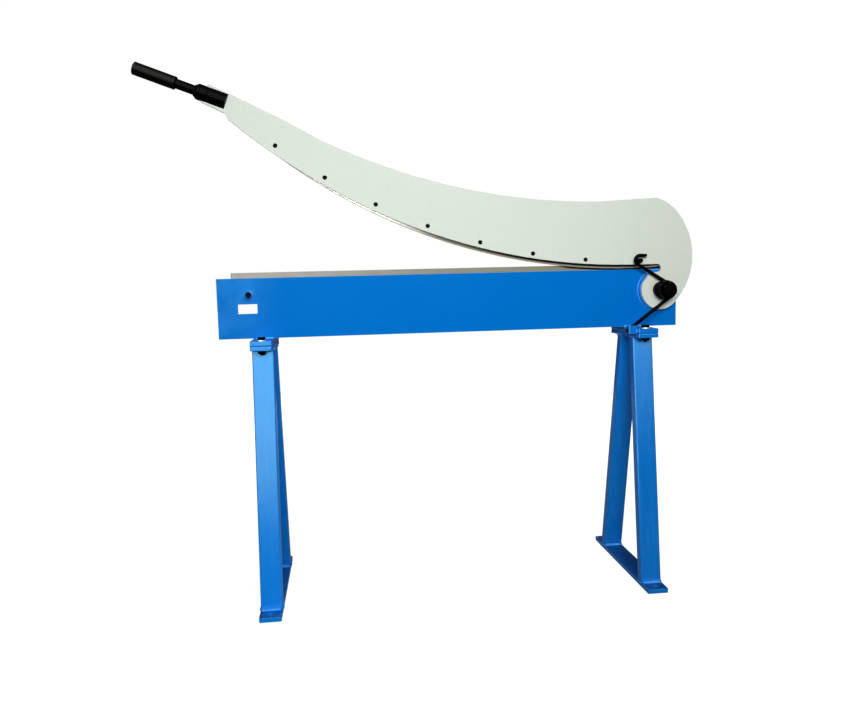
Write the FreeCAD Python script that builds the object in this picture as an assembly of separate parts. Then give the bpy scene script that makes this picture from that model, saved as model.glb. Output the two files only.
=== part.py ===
# Guillotine shear: a hand lever shear for sheet metal on two splayed legs.
# Millimetres. +X runs along the beam to the pivot end, -Y faces the worker, +Z is up.
# The origin lies on the floor at the centre of the four anchor holes.
import FreeCAD
import Part

import math
import os

V = FreeCAD.Vector

# Beam: a rolled channel with its web to the front
BEAM_LENGTH = 1123.0
BEAM_HEIGHT = 142.0
BEAM_DEPTH = 60.0
BEAM_WEB = 7.0
BEAM_FLANGE = 10.0
BEAM_ROOT_RADIUS = 8.0
BEAM_FACE_AHEAD = 36.5  # the web's face ahead of the anchor holes' centre

# Feet and their anchor holes
LEFT_FOOT_INSET = 106.0  # the left foot's middle from the beam's left end
RIGHT_FOOT_INSET = 109.0
FOOT_LENGTH = 383.0
FOOT_WIDTH = 50.0
FOOT_THICKNESS = 10.0
FOOT_CORNER = 3.0
ANCHOR_HOLE = 12.0
ANCHOR_INSET = 18.0

# Legs: rectangular tubes between the foot bar and the top plate
LEG_RISE = 595.5
LEG_WIDTH = 50.0
LEG_THICKNESS = 25.0
LEG_WALL = 2.5
LEG_CORNER = 3.5
FRONT_LEG_INSET = 42.0
REAR_LEG_INSET = 50.5
FRONT_TOP_INSET = 39.0
REAR_TOP_INSET = 46.5

# Plates between the legs and the beam
PLATE_WIDTH = 50.0
LEG_PLATE_THICKNESS = 10.0
LUG_THICKNESS = 12.0
PLATE_CORNER = 3.0
PLATE_ROUND = 2.4  # along the joint between the two plates
PLATE_EDGE = 0.8  # along the welded sides
LEG_BOLT_AHEAD = 71.5  # the front bolts ahead of the beam's face
LEG_BOLT_BEHIND = 15.5  # the rear bolts behind the beam
LEG_BOLT_END = 20.5  # from the bolts to the plates' ends
LEG_BOLT_DIAMETER = 10.0
LEG_BOLT_FLATS = 17.0
LEG_BOLT_HEAD = 6.4
LEG_NUT_HEIGHT = 8.0
LEG_BOLT_PAST_NUT = 3.0
LEG_WASHER_DIAMETER = 20.0
LEG_WASHER_THICKNESS = 1.6

# Lower blade and table
LOWER_BLADE_HEIGHT = 13.0
LOWER_BLADE_DEPTH = 48.0
LOWER_BLADE_LEFT_INSET = 34.0
LOWER_BLADE_RIGHT_INSET = 30.0
LOWER_BLADE_AHEAD = 0.3  # proud of the beam's face
LOWER_SCREW_COUNT = 5
LOWER_SCREW_DIAMETER = 8.0
LOWER_SCREW_HEAD = 16.0
LOWER_SCREW_SOCKET = 3.0
LOWER_SCREW_END_INSET = 60.0
TABLE_DEPTH = 178.0
TABLE_THICKNESS = 8.0
TABLE_END_INSET = 58.0
BRACKET_COUNT = 3
BRACKET_THICKNESS = 8.0
BRACKET_REACH = 160.0
BRACKET_TIP = 16.0
BRACKET_FOOT = 18.0

# Pivot
PIVOT_INSET = 49.0  # from the beam's right end
PIVOT_BELOW_TOP = 51.5  # below the beam's top
BOSS_MARGIN = 1.0
PIVOT_DIAMETER = 25.0
PIVOT_THREAD = 20.0
PIVOT_NUT_FLATS = 30.0
PIVOT_NUT_HEIGHT = 16.0
PIVOT_END = 4.0
PIVOT_CHAMFER = 1.5
PIVOT_HEAD_FLATS = 36.0
PIVOT_HEAD_HEIGHT = 14.0
PIVOT_WASHER_DIAMETER = 44.0
PIVOT_WASHER_THICKNESS = 4.0
BUSH_WALL = 3.5
BACKING_DIAMETER = 62.0
BACKING_THICKNESS = 20.0
SLEEVE_FLANGE_DIAMETER = 40.0
SLEEVE_FLANGE_THICKNESS = 9.5
SLEEVE_DIAMETER = 28.0

# Arm plate, in the raised position; places are measured from the pivot
ARM_THICKNESS = 8.0
ARM_END_INSET = 47.5  # the edge's left end from the beam's left end
EDGE_RADIUS = 1465.8
EDGE_LEVEL_AT = 77.5  # left of the pivot, where the edge runs level
EDGE_BELOW_TABLE = 1.3
ARM_DEPTH = 153.3
TOP_RADIUS = 1533.3
TOP_LEVEL_AT = 163.4
TOP_ARC_LENGTH = 652.6
TOP_BULGE = 3.0
TANG_STEP_X = 6.7
TANG_STEP_Z = 13.3
TANG_ANGLE = 25.6
TANG_LENGTH = 56.0
TANG_WIDTH = 43.0
SHOULDER_AT = 11.6  # left of the pivot, where the top edge starts to turn down
SHOULDER_RISE = 7.7
SHOULDER_BEND_AT = 27.6  # right of the pivot, a place on the shoulder's bend
SHOULDER_BEND_DROP = 12.3
HEEL_START_AT = 47.3
HEEL_START_DROP = 33.5
HEEL_REACH = 81.5
HEEL_HEIGHT = 79.3
SLOT_HEIGHT = 19.8
SLOT_END_AT = 9.0
SLOT_FLAT = 17.8
LOBE_SMALLER = 2.0  # the lobe's radius below the boss's
LOBE_FROM_ANGLE = -43.0
LOBE_TO_ANGLE = 160.0

# Upper blade and its screws
BLADE_THICKNESS = 12.0
BLADE_RADIUS = 1392.6
BLADE_LEVEL_AT = 87.8
BLADE_BELOW_EDGE = 8.2  # where it runs level
BLADE_WIDTH = 38.0
BLADE_LEFT_INSET = 60.5  # from the edge's left end
BLADE_RIGHT_AT = 4.0
SCREW_PITCH = 132.0
SCREW_ROW_INSET = 14.4
SCREW_ROW_SHIFT_X = 11.9
SCREW_ROW_SHIFT_Z = 5.5
SCREW_DIAMETER = 6.0
SCREW_HEAD_DIAMETER = 10.0
SCREW_HEAD_HEIGHT = 4.0
SCREW_SOCKET_FLATS = 5.0
SCREW_REACH = 10.0
SCREW_RIM = 0.08  # rounding of the head's rim, of its height
HOOK_PIN_AT = 59.0
HOOK_PIN_DIAMETER = 11.0
HOOK_PIN_END = 4.0
HOOK_PIN_CHAMFER = 1.0
HOOK_SPIGOT_DIAMETER = 7.0

# Return spring
WIRE = 8.5
COIL_DIAMETER = 39.0
COIL_PITCH = 9.1
COIL_FULL_TURNS = 2
HOOK_ROOM = 1.5  # between the pin and the hook round it
HOOK_TIP = 16.5
HOOK_TIP_ANGLE = 88.0
SPRING_FRONT_ROOM = 1.2
SPRING_TIP = 3.0
SPRING_BEND = 5.0  # from a bend's corner to its ends
SPRING_STRAIGHT = 20.0  # from the coil to the lower leg's bend
BLOCK_WIDTH = 20.0
BLOCK_DEPTH = 20.0
BLOCK_HEIGHT = 19.0
BLOCK_INSET = 10.0
BLOCK_CORNER = 3.0
BLOCK_HOLE_DROP = 4.5  # the hole's middle below the block's top

# Stop and label
STOP_INSET = 76.5
STOP_BELOW_TOP = 37.9
STOP_SLEEVE_DIAMETER = 13.0
STOP_SLEEVE_LENGTH = 29.0
STOP_SCREW_DIAMETER = 8.0
STOP_HEAD_HEIGHT = 8.0
STOP_SOCKET_FLATS = 6.0
STOP_NUT_FLATS = 13.0
STOP_NUT_HEIGHT = 6.5
STOP_END = 2.0
LABEL_INSET = 48.0
LABEL_LENGTH = 44.0
LABEL_HEIGHT = 22.0
LABEL_THICKNESS = 0.6
LABEL_ABOVE_BOTTOM = 59.0

# Handle
HANDLE_ANGLE = 20.3
HANDLE_DROP = 1.3  # the handle's axis below the middle of the tang's end
SOCKET_DIAMETER = 36.0
SOCKET_OVERLAP = 50.3
SOCKET_SOLID = 15.7
SOCKET_CHAMFER = 8.6
SOCKET_GROOVE_AT = 7.7
SOCKET_GROOVE = 1.6
SOCKET_LIP = 1.0
ROD_DIAMETER = 21.8
ROD_SHOWN = 42.2
ROD_SEAT = 16.0
GRIP_DIAMETER = 29.2
GRIP_LENGTH = 96.0
GRIP_CAP = 4.0
GRIP_ROUND = 2.6
GRIP_NEAR_ROUND = 1.25

# Clearances
FIT = 0.02  # radial, held pieces
RUNNING = 0.05  # radial, the pivot
SHEAR_GAP = 0.1  # between the two blades
GAP = 0.3  # between other pieces that move past each other
BOLT_CLEARANCE = 0.5  # radial
HEAD_CLEARANCE = 0.3
WIRE_CLEARANCE = 0.4

# Heights
plate_bottom = FOOT_THICKNESS + LEG_RISE
lug_bottom = plate_bottom + LEG_PLATE_THICKNESS
beam_bottom = lug_bottom + LUG_THICKNESS
beam_top = beam_bottom + BEAM_HEIGHT
table_top = beam_top + LOWER_BLADE_HEIGHT

# Places across the beam
face_y = -BEAM_FACE_AHEAD
back_y = face_y + BEAM_DEPTH
web_back_y = face_y + BEAM_WEB
lower_blade_y = face_y - LOWER_BLADE_AHEAD
blade_back_y = lower_blade_y - SHEAR_GAP
arm_back_y = blade_back_y - BLADE_THICKNESS
arm_front_y = arm_back_y - ARM_THICKNESS
arm_middle_y = (arm_front_y + arm_back_y) / 2
front_bolt_y = face_y - LEG_BOLT_AHEAD
rear_bolt_y = back_y + LEG_BOLT_BEHIND
plate_front_y = front_bolt_y - LEG_BOLT_END
plate_back_y = rear_bolt_y + LEG_BOLT_END

# Places along the beam
foot_x = (BEAM_LENGTH - LEFT_FOOT_INSET - RIGHT_FOOT_INSET) / 2
left_x = -foot_x - LEFT_FOOT_INSET
right_x = foot_x + RIGHT_FOOT_INSET
pivot_x = right_x - PIVOT_INSET
pivot_z = beam_top - PIVOT_BELOW_TOP
stop_x = left_x + STOP_INSET
stop_z = beam_top - STOP_BELOW_TOP

# Pivot stack, from the arm's face to the front
boss_radius = PIVOT_BELOW_TOP - BOSS_MARGIN
boss_front_y = arm_back_y + GAP
lobe_radius = boss_radius - LOBE_SMALLER
bush_radius = PIVOT_DIAMETER / 2 + BUSH_WALL
shoulder_y = arm_front_y - GAP
coil_back_y = shoulder_y - SLEEVE_FLANGE_THICKNESS - GAP - WIRE / 2


def box(x0, x1, y0, y1, z0, z1):
    return Part.makeBox(x1 - x0, y1 - y0, z1 - z0, V(x0, y0, z0))


def rod_y(x, z, radius, y0, y1):
    return Part.makeCylinder(radius, y1 - y0, V(x, y0, z), V(0, 1, 0))


def rod_z(x, y, radius, z0, z1):
    return Part.makeCylinder(radius, z1 - z0, V(x, y, z0), V(0, 0, 1))


def bore_y(shape, x, z, radius, y0, y1):
    """The shape with a hole along Y, cut 1 mm past both ends."""
    return shape.cut(rod_y(x, z, radius, y0 - 1, y1 + 1))


def bore_z(shape, x, y, radius, z0, z1):
    return shape.cut(rod_z(x, y, radius, z0 - 1, z1 + 1))


def upright_edges(shape):
    """The edges along Z."""
    return [e for e in shape.Edges if abs(e.Vertexes[0].Z - e.Vertexes[-1].Z) > 0.9 * e.Length]


def level_edges(shape, z):
    """The edges round the face at this height."""
    return [e for e in shape.Edges if abs(e.BoundBox.ZMin - z) < 0.001 and abs(e.BoundBox.ZMax - z) < 0.001]


def hexagon(flats, length, base, direction):
    """A hexagonal prism with two flats square to the X axis."""
    radius = flats / math.sqrt(3)
    side = direction.cross(V(1, 0, 0))
    corners = []
    for k in range(7):
        angle = math.radians(60 * k + 30)
        corners.append(base + V(1, 0, 0) * radius * math.cos(angle) + side * radius * math.sin(angle))
    return Part.Face(Part.makePolygon(corners)).extrude(direction * length)


def chamfered_hexagon(flats, length, base, direction):
    """A nut's or bolt head's hexagon, its far corners turned off at 30 degrees."""
    slope = math.tan(math.radians(30))
    body = hexagon(flats, length, base, direction)
    turned = Part.makeCone(flats / 2 + length / slope, flats / 2, length, base, direction)
    return body.common(turned)


def arc(start, middle, end):
    return Part.Arc(start, middle, end).toShape()


def line(start, end):
    return Part.LineSegment(start, end).toShape()


def at(u, v, y=0.0):
    """The point u right of the pivot and v above it."""
    return V(pivot_x + u, y, pivot_z + v)


def slab(edges, y0, y1):
    """The closed outline, drawn at y = 0, as a plate from y0 to y1."""
    face = Part.Face(Part.Wire(edges))
    face.translate(V(0, y0, 0))
    return face.extrude(V(0, y1 - y0, 0))


def bowl(u, centre_u, centre_v, radius):
    """The height of a circle's lower side at u."""
    return centre_v - math.sqrt(radius ** 2 - (u - centre_u) ** 2)


# The arm's edge, its top and its row of screws
edge_low = PIVOT_BELOW_TOP + LOWER_BLADE_HEIGHT - EDGE_BELOW_TABLE
edge_u = -EDGE_LEVEL_AT
edge_v = edge_low + EDGE_RADIUS
edge_end_u = -(BEAM_LENGTH - PIVOT_INSET - ARM_END_INSET)
top_low = edge_low + ARM_DEPTH
top_u = -TOP_LEVEL_AT
top_v = top_low + TOP_RADIUS
row_u = edge_u + SCREW_ROW_SHIFT_X
row_v = edge_v - SCREW_ROW_SHIFT_Z
row_radius = EDGE_RADIUS - SCREW_ROW_INSET
pin_u = -HOOK_PIN_AT
pin_v = bowl(pin_u, row_u, row_v, row_radius)


def edge(u, inset=0.0):
    return bowl(u, edge_u, edge_v, EDGE_RADIUS - inset)


def cutting_edge(u):
    return bowl(u, -BLADE_LEVEL_AT, edge_low - BLADE_BELOW_EDGE + BLADE_RADIUS, BLADE_RADIUS)


def tang_points():
    """The tang's lower root, its lower end and its upper end, from the pivot."""
    slope = math.radians(TANG_ANGLE)
    root_u = edge_end_u - TANG_STEP_X
    root_v = edge(edge_end_u) + TANG_STEP_Z
    low_u = root_u - TANG_LENGTH * math.cos(slope)
    low_v = root_v + TANG_LENGTH * math.sin(slope)
    high_u = low_u + TANG_WIDTH * math.sin(slope)
    high_v = low_v + TANG_WIDTH * math.cos(slope)
    return (root_u, root_v), (low_u, low_v), (high_u, high_v)


def screw_places():
    """Centres of the blade screws, left of the hook pin at an even pitch along their row."""
    first = math.asin((pin_u - row_u) / row_radius)
    step = SCREW_PITCH / row_radius
    last = math.asin((edge_end_u + BLADE_LEFT_INSET + SCREW_HEAD_DIAMETER - row_u) / row_radius)
    count = int((first - last) / step)
    places = []
    for k in range(1, count + 1):
        angle = first - k * step
        places.append((row_u + row_radius * math.sin(angle), row_v - row_radius * math.cos(angle)))
    return places


def round_pivot(degrees):
    """The place on the lobe's rim at this angle from level."""
    angle = math.radians(degrees)
    return at(lobe_radius * math.cos(angle), lobe_radius * math.sin(angle))


def arm_outline():
    root, low, high = tang_points()
    top_start_u = top_u - TOP_ARC_LENGTH
    top_start = at(top_start_u, bowl(top_start_u, top_u, top_v, TOP_RADIUS))
    top_middle_u = top_u - TOP_ARC_LENGTH / 2
    top_middle = at(top_middle_u, bowl(top_middle_u, top_u, top_v, TOP_RADIUS))
    top_end = at(top_u, top_low)
    tang_top = at(*high)
    run = top_start - tang_top
    rise = V(-run.z, 0, run.x).normalize()
    bulge = (top_start + tang_top) * 0.5 + rise * TOP_BULGE
    shoulder = at(-SHOULDER_AT, top_low + SHOULDER_RISE)
    shoulder_middle = at(SHOULDER_BEND_AT, top_low - SHOULDER_BEND_DROP)
    heel_top = at(HEEL_START_AT, top_low - HEEL_START_DROP)
    heel_middle = at(HEEL_REACH, HEEL_HEIGHT)
    heel_end = round_pivot(LOBE_FROM_ANGLE)
    lobe_low = at(0, -lobe_radius)
    neck = round_pivot(LOBE_TO_ANGLE)
    slot_u = -SLOT_END_AT
    slot_bottom = edge_low - SLOT_HEIGHT
    slot_end = at(slot_u + SLOT_HEIGHT / 2, edge_low - SLOT_HEIGHT / 2)
    slot_lip = at(slot_u - SLOT_FLAT, slot_bottom)
    edge_middle_u = (edge_end_u + edge_u) / 2
    return [
        arc(tang_top, bulge, top_start),
        arc(top_start, top_middle, top_end),
        line(top_end, shoulder),
        arc(shoulder, shoulder_middle, heel_top),
        arc(heel_top, heel_middle, heel_end),
        arc(heel_end, lobe_low, neck),
        line(neck, slot_lip),
        line(slot_lip, at(slot_u, slot_bottom)),
        arc(at(slot_u, slot_bottom), slot_end, at(slot_u, edge_low)),
        line(at(slot_u, edge_low), at(edge_u, edge_low)),
        arc(at(edge_u, edge_low), at(edge_middle_u, edge(edge_middle_u)), at(edge_end_u, edge(edge_end_u))),
        line(at(edge_end_u, edge(edge_end_u)), at(*root)),
        line(at(*root), at(*low)),
        line(at(*low), tang_top),
    ]


def arm_plate():
    plate = slab(arm_outline(), arm_front_y, arm_back_y)
    plate = bore_y(plate, pivot_x, pivot_z, bush_radius + FIT, arm_front_y, arm_back_y)
    pin = at(pin_u, pin_v)
    plate = bore_y(plate, pin.x, pin.z, HOOK_PIN_DIAMETER / 2 + FIT, arm_front_y, arm_back_y)
    head = SCREW_HEAD_DIAMETER / 2 + HEAD_CLEARANCE
    shank = SCREW_DIAMETER / 2 + HEAD_CLEARANCE
    sunk = arm_front_y + SCREW_HEAD_HEIGHT + HEAD_CLEARANCE
    for u, v in screw_places():
        place = at(u, v)
        plate = plate.cut(rod_y(place.x, place.z, head, arm_front_y - 1, sunk))
        plate = bore_y(plate, place.x, place.z, shank, sunk, arm_back_y)
    return plate


def upper_blade():
    """A strip behind the arm's edge, whose tighter curve brings it out below the edge towards the pivot."""
    left = edge_end_u + BLADE_LEFT_INSET
    right = -BLADE_RIGHT_AT
    middle = (left + right) / 2
    left_top = left - BLADE_WIDTH * (left - edge_u) / EDGE_RADIUS

    def back(u):
        return at(u, edge(u, BLADE_WIDTH - BLADE_BELOW_EDGE))

    edges = [
        arc(at(left, cutting_edge(left)), at(middle, cutting_edge(middle)), at(right, cutting_edge(right))),
        line(at(right, cutting_edge(right)), back(right)),
        arc(back(right), back(middle), back(left_top)),
        line(back(left_top), at(left, cutting_edge(left))),
    ]
    blade = slab(edges, arm_back_y, blade_back_y)
    bottom = arm_back_y + SCREW_REACH + GAP
    for u, v in screw_places():
        place = at(u, v)
        blade = blade.cut(rod_y(place.x, place.z, SCREW_DIAMETER / 2 + FIT, arm_back_y - 1, bottom))
    pin = at(pin_u, pin_v)
    return blade.cut(rod_y(pin.x, pin.z, HOOK_SPIGOT_DIAMETER / 2 + FIT, arm_back_y - 1, bottom))


def socket_screw(x, z, diameter, head_diameter, head_height, flats, head_front, tip):
    """A cap screw along Y with its socket to the front."""
    under = head_front + head_height
    head = rod_y(x, z, head_diameter / 2, head_front, under)
    rims = [e for e in head.Edges if e.Curve.TypeId == "Part::GeomCircle" and e.Vertexes[0].Y < under - 0.1]
    head = head.makeFillet(head_height * SCREW_RIM, rims)
    head = head.cut(hexagon(flats, head_height / 2 + 1, V(x, head_front - 1, z), V(0, 1, 0)))
    return head.fuse(rod_y(x, z, diameter / 2, under, tip)).removeSplitter()


def blade_screw(place):
    u, v = place
    centre = at(u, v)
    front = arm_front_y + HEAD_CLEARANCE
    return socket_screw(centre.x, centre.z, SCREW_DIAMETER, SCREW_HEAD_DIAMETER, SCREW_HEAD_HEIGHT,
                        SCREW_SOCKET_FLATS, front, arm_back_y + SCREW_REACH)


def hook_pin():
    pin = at(pin_u, pin_v)
    front = coil_back_y - WIRE / 2 - HOOK_PIN_END
    body = rod_y(pin.x, pin.z, HOOK_PIN_DIAMETER / 2, front, arm_back_y)
    rims = [e for e in body.Edges if e.Curve.TypeId == "Part::GeomCircle" and e.Vertexes[0].Y < front + 0.1]
    body = body.makeChamfer(HOOK_PIN_CHAMFER, rims)
    spigot = rod_y(pin.x, pin.z, HOOK_SPIGOT_DIAMETER / 2, arm_back_y, arm_back_y + SCREW_REACH)
    return body.fuse(spigot).removeSplitter()


def front_beam():
    beam = box(left_x, right_x, face_y, back_y, beam_bottom, beam_top)
    hollow = box(left_x - 1, right_x + 1, web_back_y, back_y + BEAM_ROOT_RADIUS + 1,
                 beam_bottom + BEAM_FLANGE, beam_top - BEAM_FLANGE)
    roots = [e for e in hollow.Edges if e.Length > BEAM_LENGTH and abs(e.CenterOfMass.y - web_back_y) < 0.01]
    beam = beam.cut(hollow.makeFillet(BEAM_ROOT_RADIUS, roots))
    beam = bore_y(beam, pivot_x, pivot_z, PIVOT_DIAMETER / 2, face_y, web_back_y)
    beam = bore_y(beam, stop_x, stop_z, STOP_SCREW_DIAMETER / 2 + FIT, face_y, web_back_y)
    tapped = LOWER_SCREW_DIAMETER / 2 + FIT
    for x in lower_screw_places():
        beam = bore_z(beam, x, lower_screw_y(), tapped, beam_top - BEAM_FLANGE, beam_top)
    return beam


def lower_screw_places():
    first = left_x + LOWER_BLADE_LEFT_INSET + LOWER_SCREW_END_INSET
    last = right_x - LOWER_BLADE_RIGHT_INSET - LOWER_SCREW_END_INSET
    step = (last - first) / (LOWER_SCREW_COUNT - 1)
    return [first + k * step for k in range(LOWER_SCREW_COUNT)]


def lower_screw_y():
    return lower_blade_y + LOWER_BLADE_DEPTH / 2


def countersink(x, extra):
    """The cone of a countersunk head, flush with the table."""
    head = LOWER_SCREW_HEAD / 2 + extra
    shank = LOWER_SCREW_DIAMETER / 2 + extra
    return Part.makeCone(head, shank, head - shank, V(x, lower_screw_y(), table_top), V(0, 0, -1))


def lower_blade():
    blade = box(left_x + LOWER_BLADE_LEFT_INSET, right_x - LOWER_BLADE_RIGHT_INSET,
                lower_blade_y, lower_blade_y + LOWER_BLADE_DEPTH, beam_top, table_top)
    for x in lower_screw_places():
        blade = blade.cut(countersink(x, FIT))
        blade = blade.cut(rod_z(x, lower_screw_y(), LOWER_SCREW_DIAMETER / 2 + FIT, beam_top - 1, table_top))
    return blade


def lower_blade_screw(x):
    y = lower_screw_y()
    screw = countersink(x, 0).fuse(rod_z(x, y, LOWER_SCREW_DIAMETER / 2, beam_top - BEAM_FLANGE, table_top))
    socket = hexagon(SCREW_SOCKET_FLATS, LOWER_SCREW_SOCKET + 1, V(x, y, table_top + 1), V(0, 0, -1))
    return screw.removeSplitter().cut(socket)


def table_plate():
    front = lower_blade_y + LOWER_BLADE_DEPTH + GAP
    return box(left_x + TABLE_END_INSET, right_x - TABLE_END_INSET, front, front + TABLE_DEPTH,
               table_top - TABLE_THICKNESS, table_top)


def table_bracket(k):
    """A gusset on the ends of the channel's flanges, under the table."""
    span = BEAM_LENGTH - 2 * TABLE_END_INSET
    x = (k + 0.5) * span / BRACKET_COUNT + left_x + TABLE_END_INSET - BRACKET_THICKNESS / 2
    top = table_top - TABLE_THICKNESS
    outline = [
        V(x, back_y, top),
        V(x, back_y + BRACKET_REACH, top),
        V(x, back_y + BRACKET_REACH, top - BRACKET_TIP),
        V(x, back_y + BRACKET_FOOT, beam_bottom),
        V(x, back_y, beam_bottom),
        V(x, back_y, top),
    ]
    return Part.Face(Part.makePolygon(outline)).extrude(V(BRACKET_THICKNESS, 0, 0))


def pivot_boss():
    boss = rod_y(pivot_x, pivot_z, boss_radius, boss_front_y, face_y)
    return bore_y(boss, pivot_x, pivot_z, PIVOT_DIAMETER / 2, boss_front_y, face_y)


def pivot_backing():
    back = web_back_y + BACKING_THICKNESS
    backing = rod_y(pivot_x, pivot_z, BACKING_DIAMETER / 2, web_back_y, back)
    return bore_y(backing, pivot_x, pivot_z, PIVOT_DIAMETER / 2, web_back_y, back)


def coil_front_y():
    """The middle of the wire where the lower leg leaves the coil."""
    return coil_back_y - COIL_PITCH * coil_sweep() / (2 * math.pi)


def sleeve_front_y():
    return coil_front_y() - WIRE / 2 - SPRING_FRONT_ROOM


def washer_front_y():
    return sleeve_front_y() - PIVOT_WASHER_THICKNESS


def pivot_stud():
    """The pivot bolt: a head behind the beam, a ground shank and a thread to the front."""
    head_y = web_back_y + BACKING_THICKNESS
    shank = rod_y(pivot_x, pivot_z, PIVOT_DIAMETER / 2 - RUNNING, shoulder_y, head_y)
    front = washer_front_y() - PIVOT_NUT_HEIGHT - PIVOT_END
    thread = rod_y(pivot_x, pivot_z, PIVOT_THREAD / 2, front, shoulder_y)
    rims = [e for e in thread.Edges if e.Curve.TypeId == "Part::GeomCircle" and e.Vertexes[0].Y < front + 0.1]
    thread = thread.makeChamfer(PIVOT_CHAMFER, rims)
    head = chamfered_hexagon(PIVOT_HEAD_FLATS, PIVOT_HEAD_HEIGHT, V(pivot_x, head_y, pivot_z), V(0, 1, 0))
    return shank.fuse(thread).fuse(head).removeSplitter()


def pivot_bush():
    bush = rod_y(pivot_x, pivot_z, bush_radius, arm_front_y, arm_back_y)
    return bore_y(bush, pivot_x, pivot_z, PIVOT_DIAMETER / 2, arm_front_y, arm_back_y)


def spring_sleeve():
    flange_y = shoulder_y - SLEEVE_FLANGE_THICKNESS
    sleeve = rod_y(pivot_x, pivot_z, SLEEVE_FLANGE_DIAMETER / 2, flange_y, shoulder_y)
    tube = rod_y(pivot_x, pivot_z, SLEEVE_DIAMETER / 2, sleeve_front_y(), flange_y)
    sleeve = sleeve.fuse(tube).removeSplitter()
    return bore_y(sleeve, pivot_x, pivot_z, PIVOT_THREAD / 2 + FIT, sleeve_front_y(), shoulder_y)


def pivot_washer():
    washer = rod_y(pivot_x, pivot_z, PIVOT_WASHER_DIAMETER / 2, washer_front_y(), sleeve_front_y())
    return bore_y(washer, pivot_x, pivot_z, PIVOT_THREAD / 2 + FIT, washer_front_y(), sleeve_front_y())


def pivot_nut():
    back = washer_front_y()
    nut = chamfered_hexagon(PIVOT_NUT_FLATS, PIVOT_NUT_HEIGHT, V(pivot_x, back, pivot_z), V(0, -1, 0))
    return bore_y(nut, pivot_x, pivot_z, PIVOT_THREAD / 2 + FIT, back - PIVOT_NUT_HEIGHT, back)


# Return spring
coil_radius = COIL_DIAMETER / 2
hook_radius = HOOK_PIN_DIAMETER / 2 + HOOK_ROOM + WIRE / 2
hook_v = pin_v + HOOK_ROOM - GAP


def coil_start():
    """The coil's angle where the upper leg leaves, on a line that crosses over to the hook."""
    reach = math.hypot(pin_u, hook_v)
    cross = math.asin((coil_radius + hook_radius) / reach)
    return math.atan2(hook_v, pin_u) + cross - math.pi / 2


def block_centre():
    x = foot_x - PLATE_WIDTH / 2 - BLOCK_WIDTH / 2
    y = plate_front_y + BLOCK_INSET + BLOCK_DEPTH / 2
    return V(x, y, lug_bottom + BLOCK_HEIGHT - BLOCK_HOLE_DROP)


def coil_end():
    """The coil's angle where the lower leg leaves for the block."""
    target = block_centre() - V(pivot_x, 0, pivot_z)
    reach = math.hypot(target.x, target.z)
    return math.atan2(target.z, target.x) + math.acos(coil_radius / reach)


def coil_sweep():
    return coil_start() - coil_end() + 2 * math.pi * COIL_FULL_TURNS


def coil_point(turned):
    angle = coil_start() - turned
    y = coil_back_y - COIL_PITCH * turned / (2 * math.pi)
    return at(coil_radius * math.cos(angle), coil_radius * math.sin(angle), y)


def coil_direction(turned):
    angle = coil_start() - turned
    lead = COIL_PITCH / (2 * math.pi)
    return V(coil_radius * math.sin(angle), -lead, -coil_radius * math.cos(angle)).normalize()


def corner_arc(start, corner, end):
    """The arc that leaves start towards corner and reaches end, both as far from corner."""
    middle = (start + end) * 0.5
    half = (end - start).Length / 2
    height = (corner - middle).Length
    angle = math.atan2(height, half)
    top = middle + (corner - middle) * (math.tan(angle / 2) / math.tan(angle))
    return arc(start, top, end)


def biarc(start, start_direction, end, end_direction):
    """Two arcs that meet smoothly between two places on the helix."""
    chord = end - start
    both = start_direction + end_direction
    a = both.dot(both) - 4
    b = -2 * chord.dot(both)
    c = chord.dot(chord)
    reach = (-b - math.sqrt(b * b - 4 * a * c)) / (2 * a)
    first = start + start_direction * reach
    second = end - end_direction * reach
    joint = (first + second) * 0.5
    return [corner_arc(start, first, joint), corner_arc(joint, second, end)]


def spring_path():
    """The wire's middle line from the hook's tip round the pivot to the tip below the block."""
    start_angle = coil_start()
    coil_in = coil_point(0)
    into = coil_direction(0)
    bend = SPRING_BEND
    knee = coil_in - into * bend
    leg = V(into.x, 0, into.z).normalize()
    hook_y = knee.y
    pin = at(pin_u, hook_v, hook_y)
    leave = start_angle + math.pi
    tip_angle = math.radians(HOOK_TIP_ANGLE)

    def round_pin(angle):
        return pin + V(math.cos(angle), 0, math.sin(angle)) * hook_radius

    tip_run = V(math.sin(tip_angle), 0, -math.cos(tip_angle))
    edges = [
        line(round_pin(tip_angle) + tip_run * HOOK_TIP, round_pin(tip_angle)),
        arc(round_pin(tip_angle), round_pin((tip_angle + leave) / 2), round_pin(leave)),
        line(round_pin(leave), knee - leg * bend),
        corner_arc(knee - leg * bend, knee, coil_in),
    ]
    sweep = coil_sweep()
    steps = math.ceil(sweep / (math.pi / 2))
    for k in range(steps):
        t0 = sweep * k / steps
        t1 = sweep * (k + 1) / steps
        edges += biarc(coil_point(t0), coil_direction(t0), coil_point(t1), coil_direction(t1))
    coil_out = coil_point(sweep)
    out = coil_direction(sweep)
    knee = coil_out + out * SPRING_STRAIGHT
    block = block_centre()
    down = (block - knee).normalize()
    tip = block + down * ((BLOCK_WIDTH / 2 + SPRING_TIP) / abs(down.x))
    edges += [
        line(coil_out, knee - out * bend),
        corner_arc(knee - out * bend, knee, knee + down * bend),
        line(knee + down * bend, tip),
    ]
    return edges


def return_spring():
    edges = spring_path()
    path = Part.Wire(edges)
    first = edges[0].Vertexes[0].Point
    direction = edges[0].Vertexes[1].Point - first
    profile = Part.Wire([Part.makeCircle(WIRE / 2, first, direction)])
    shell = Part.BRepOffsetAPI.MakePipeShell(path)
    shell.add(profile)
    shell.build()
    shell.makeSolid()
    return shell.shape()


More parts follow.
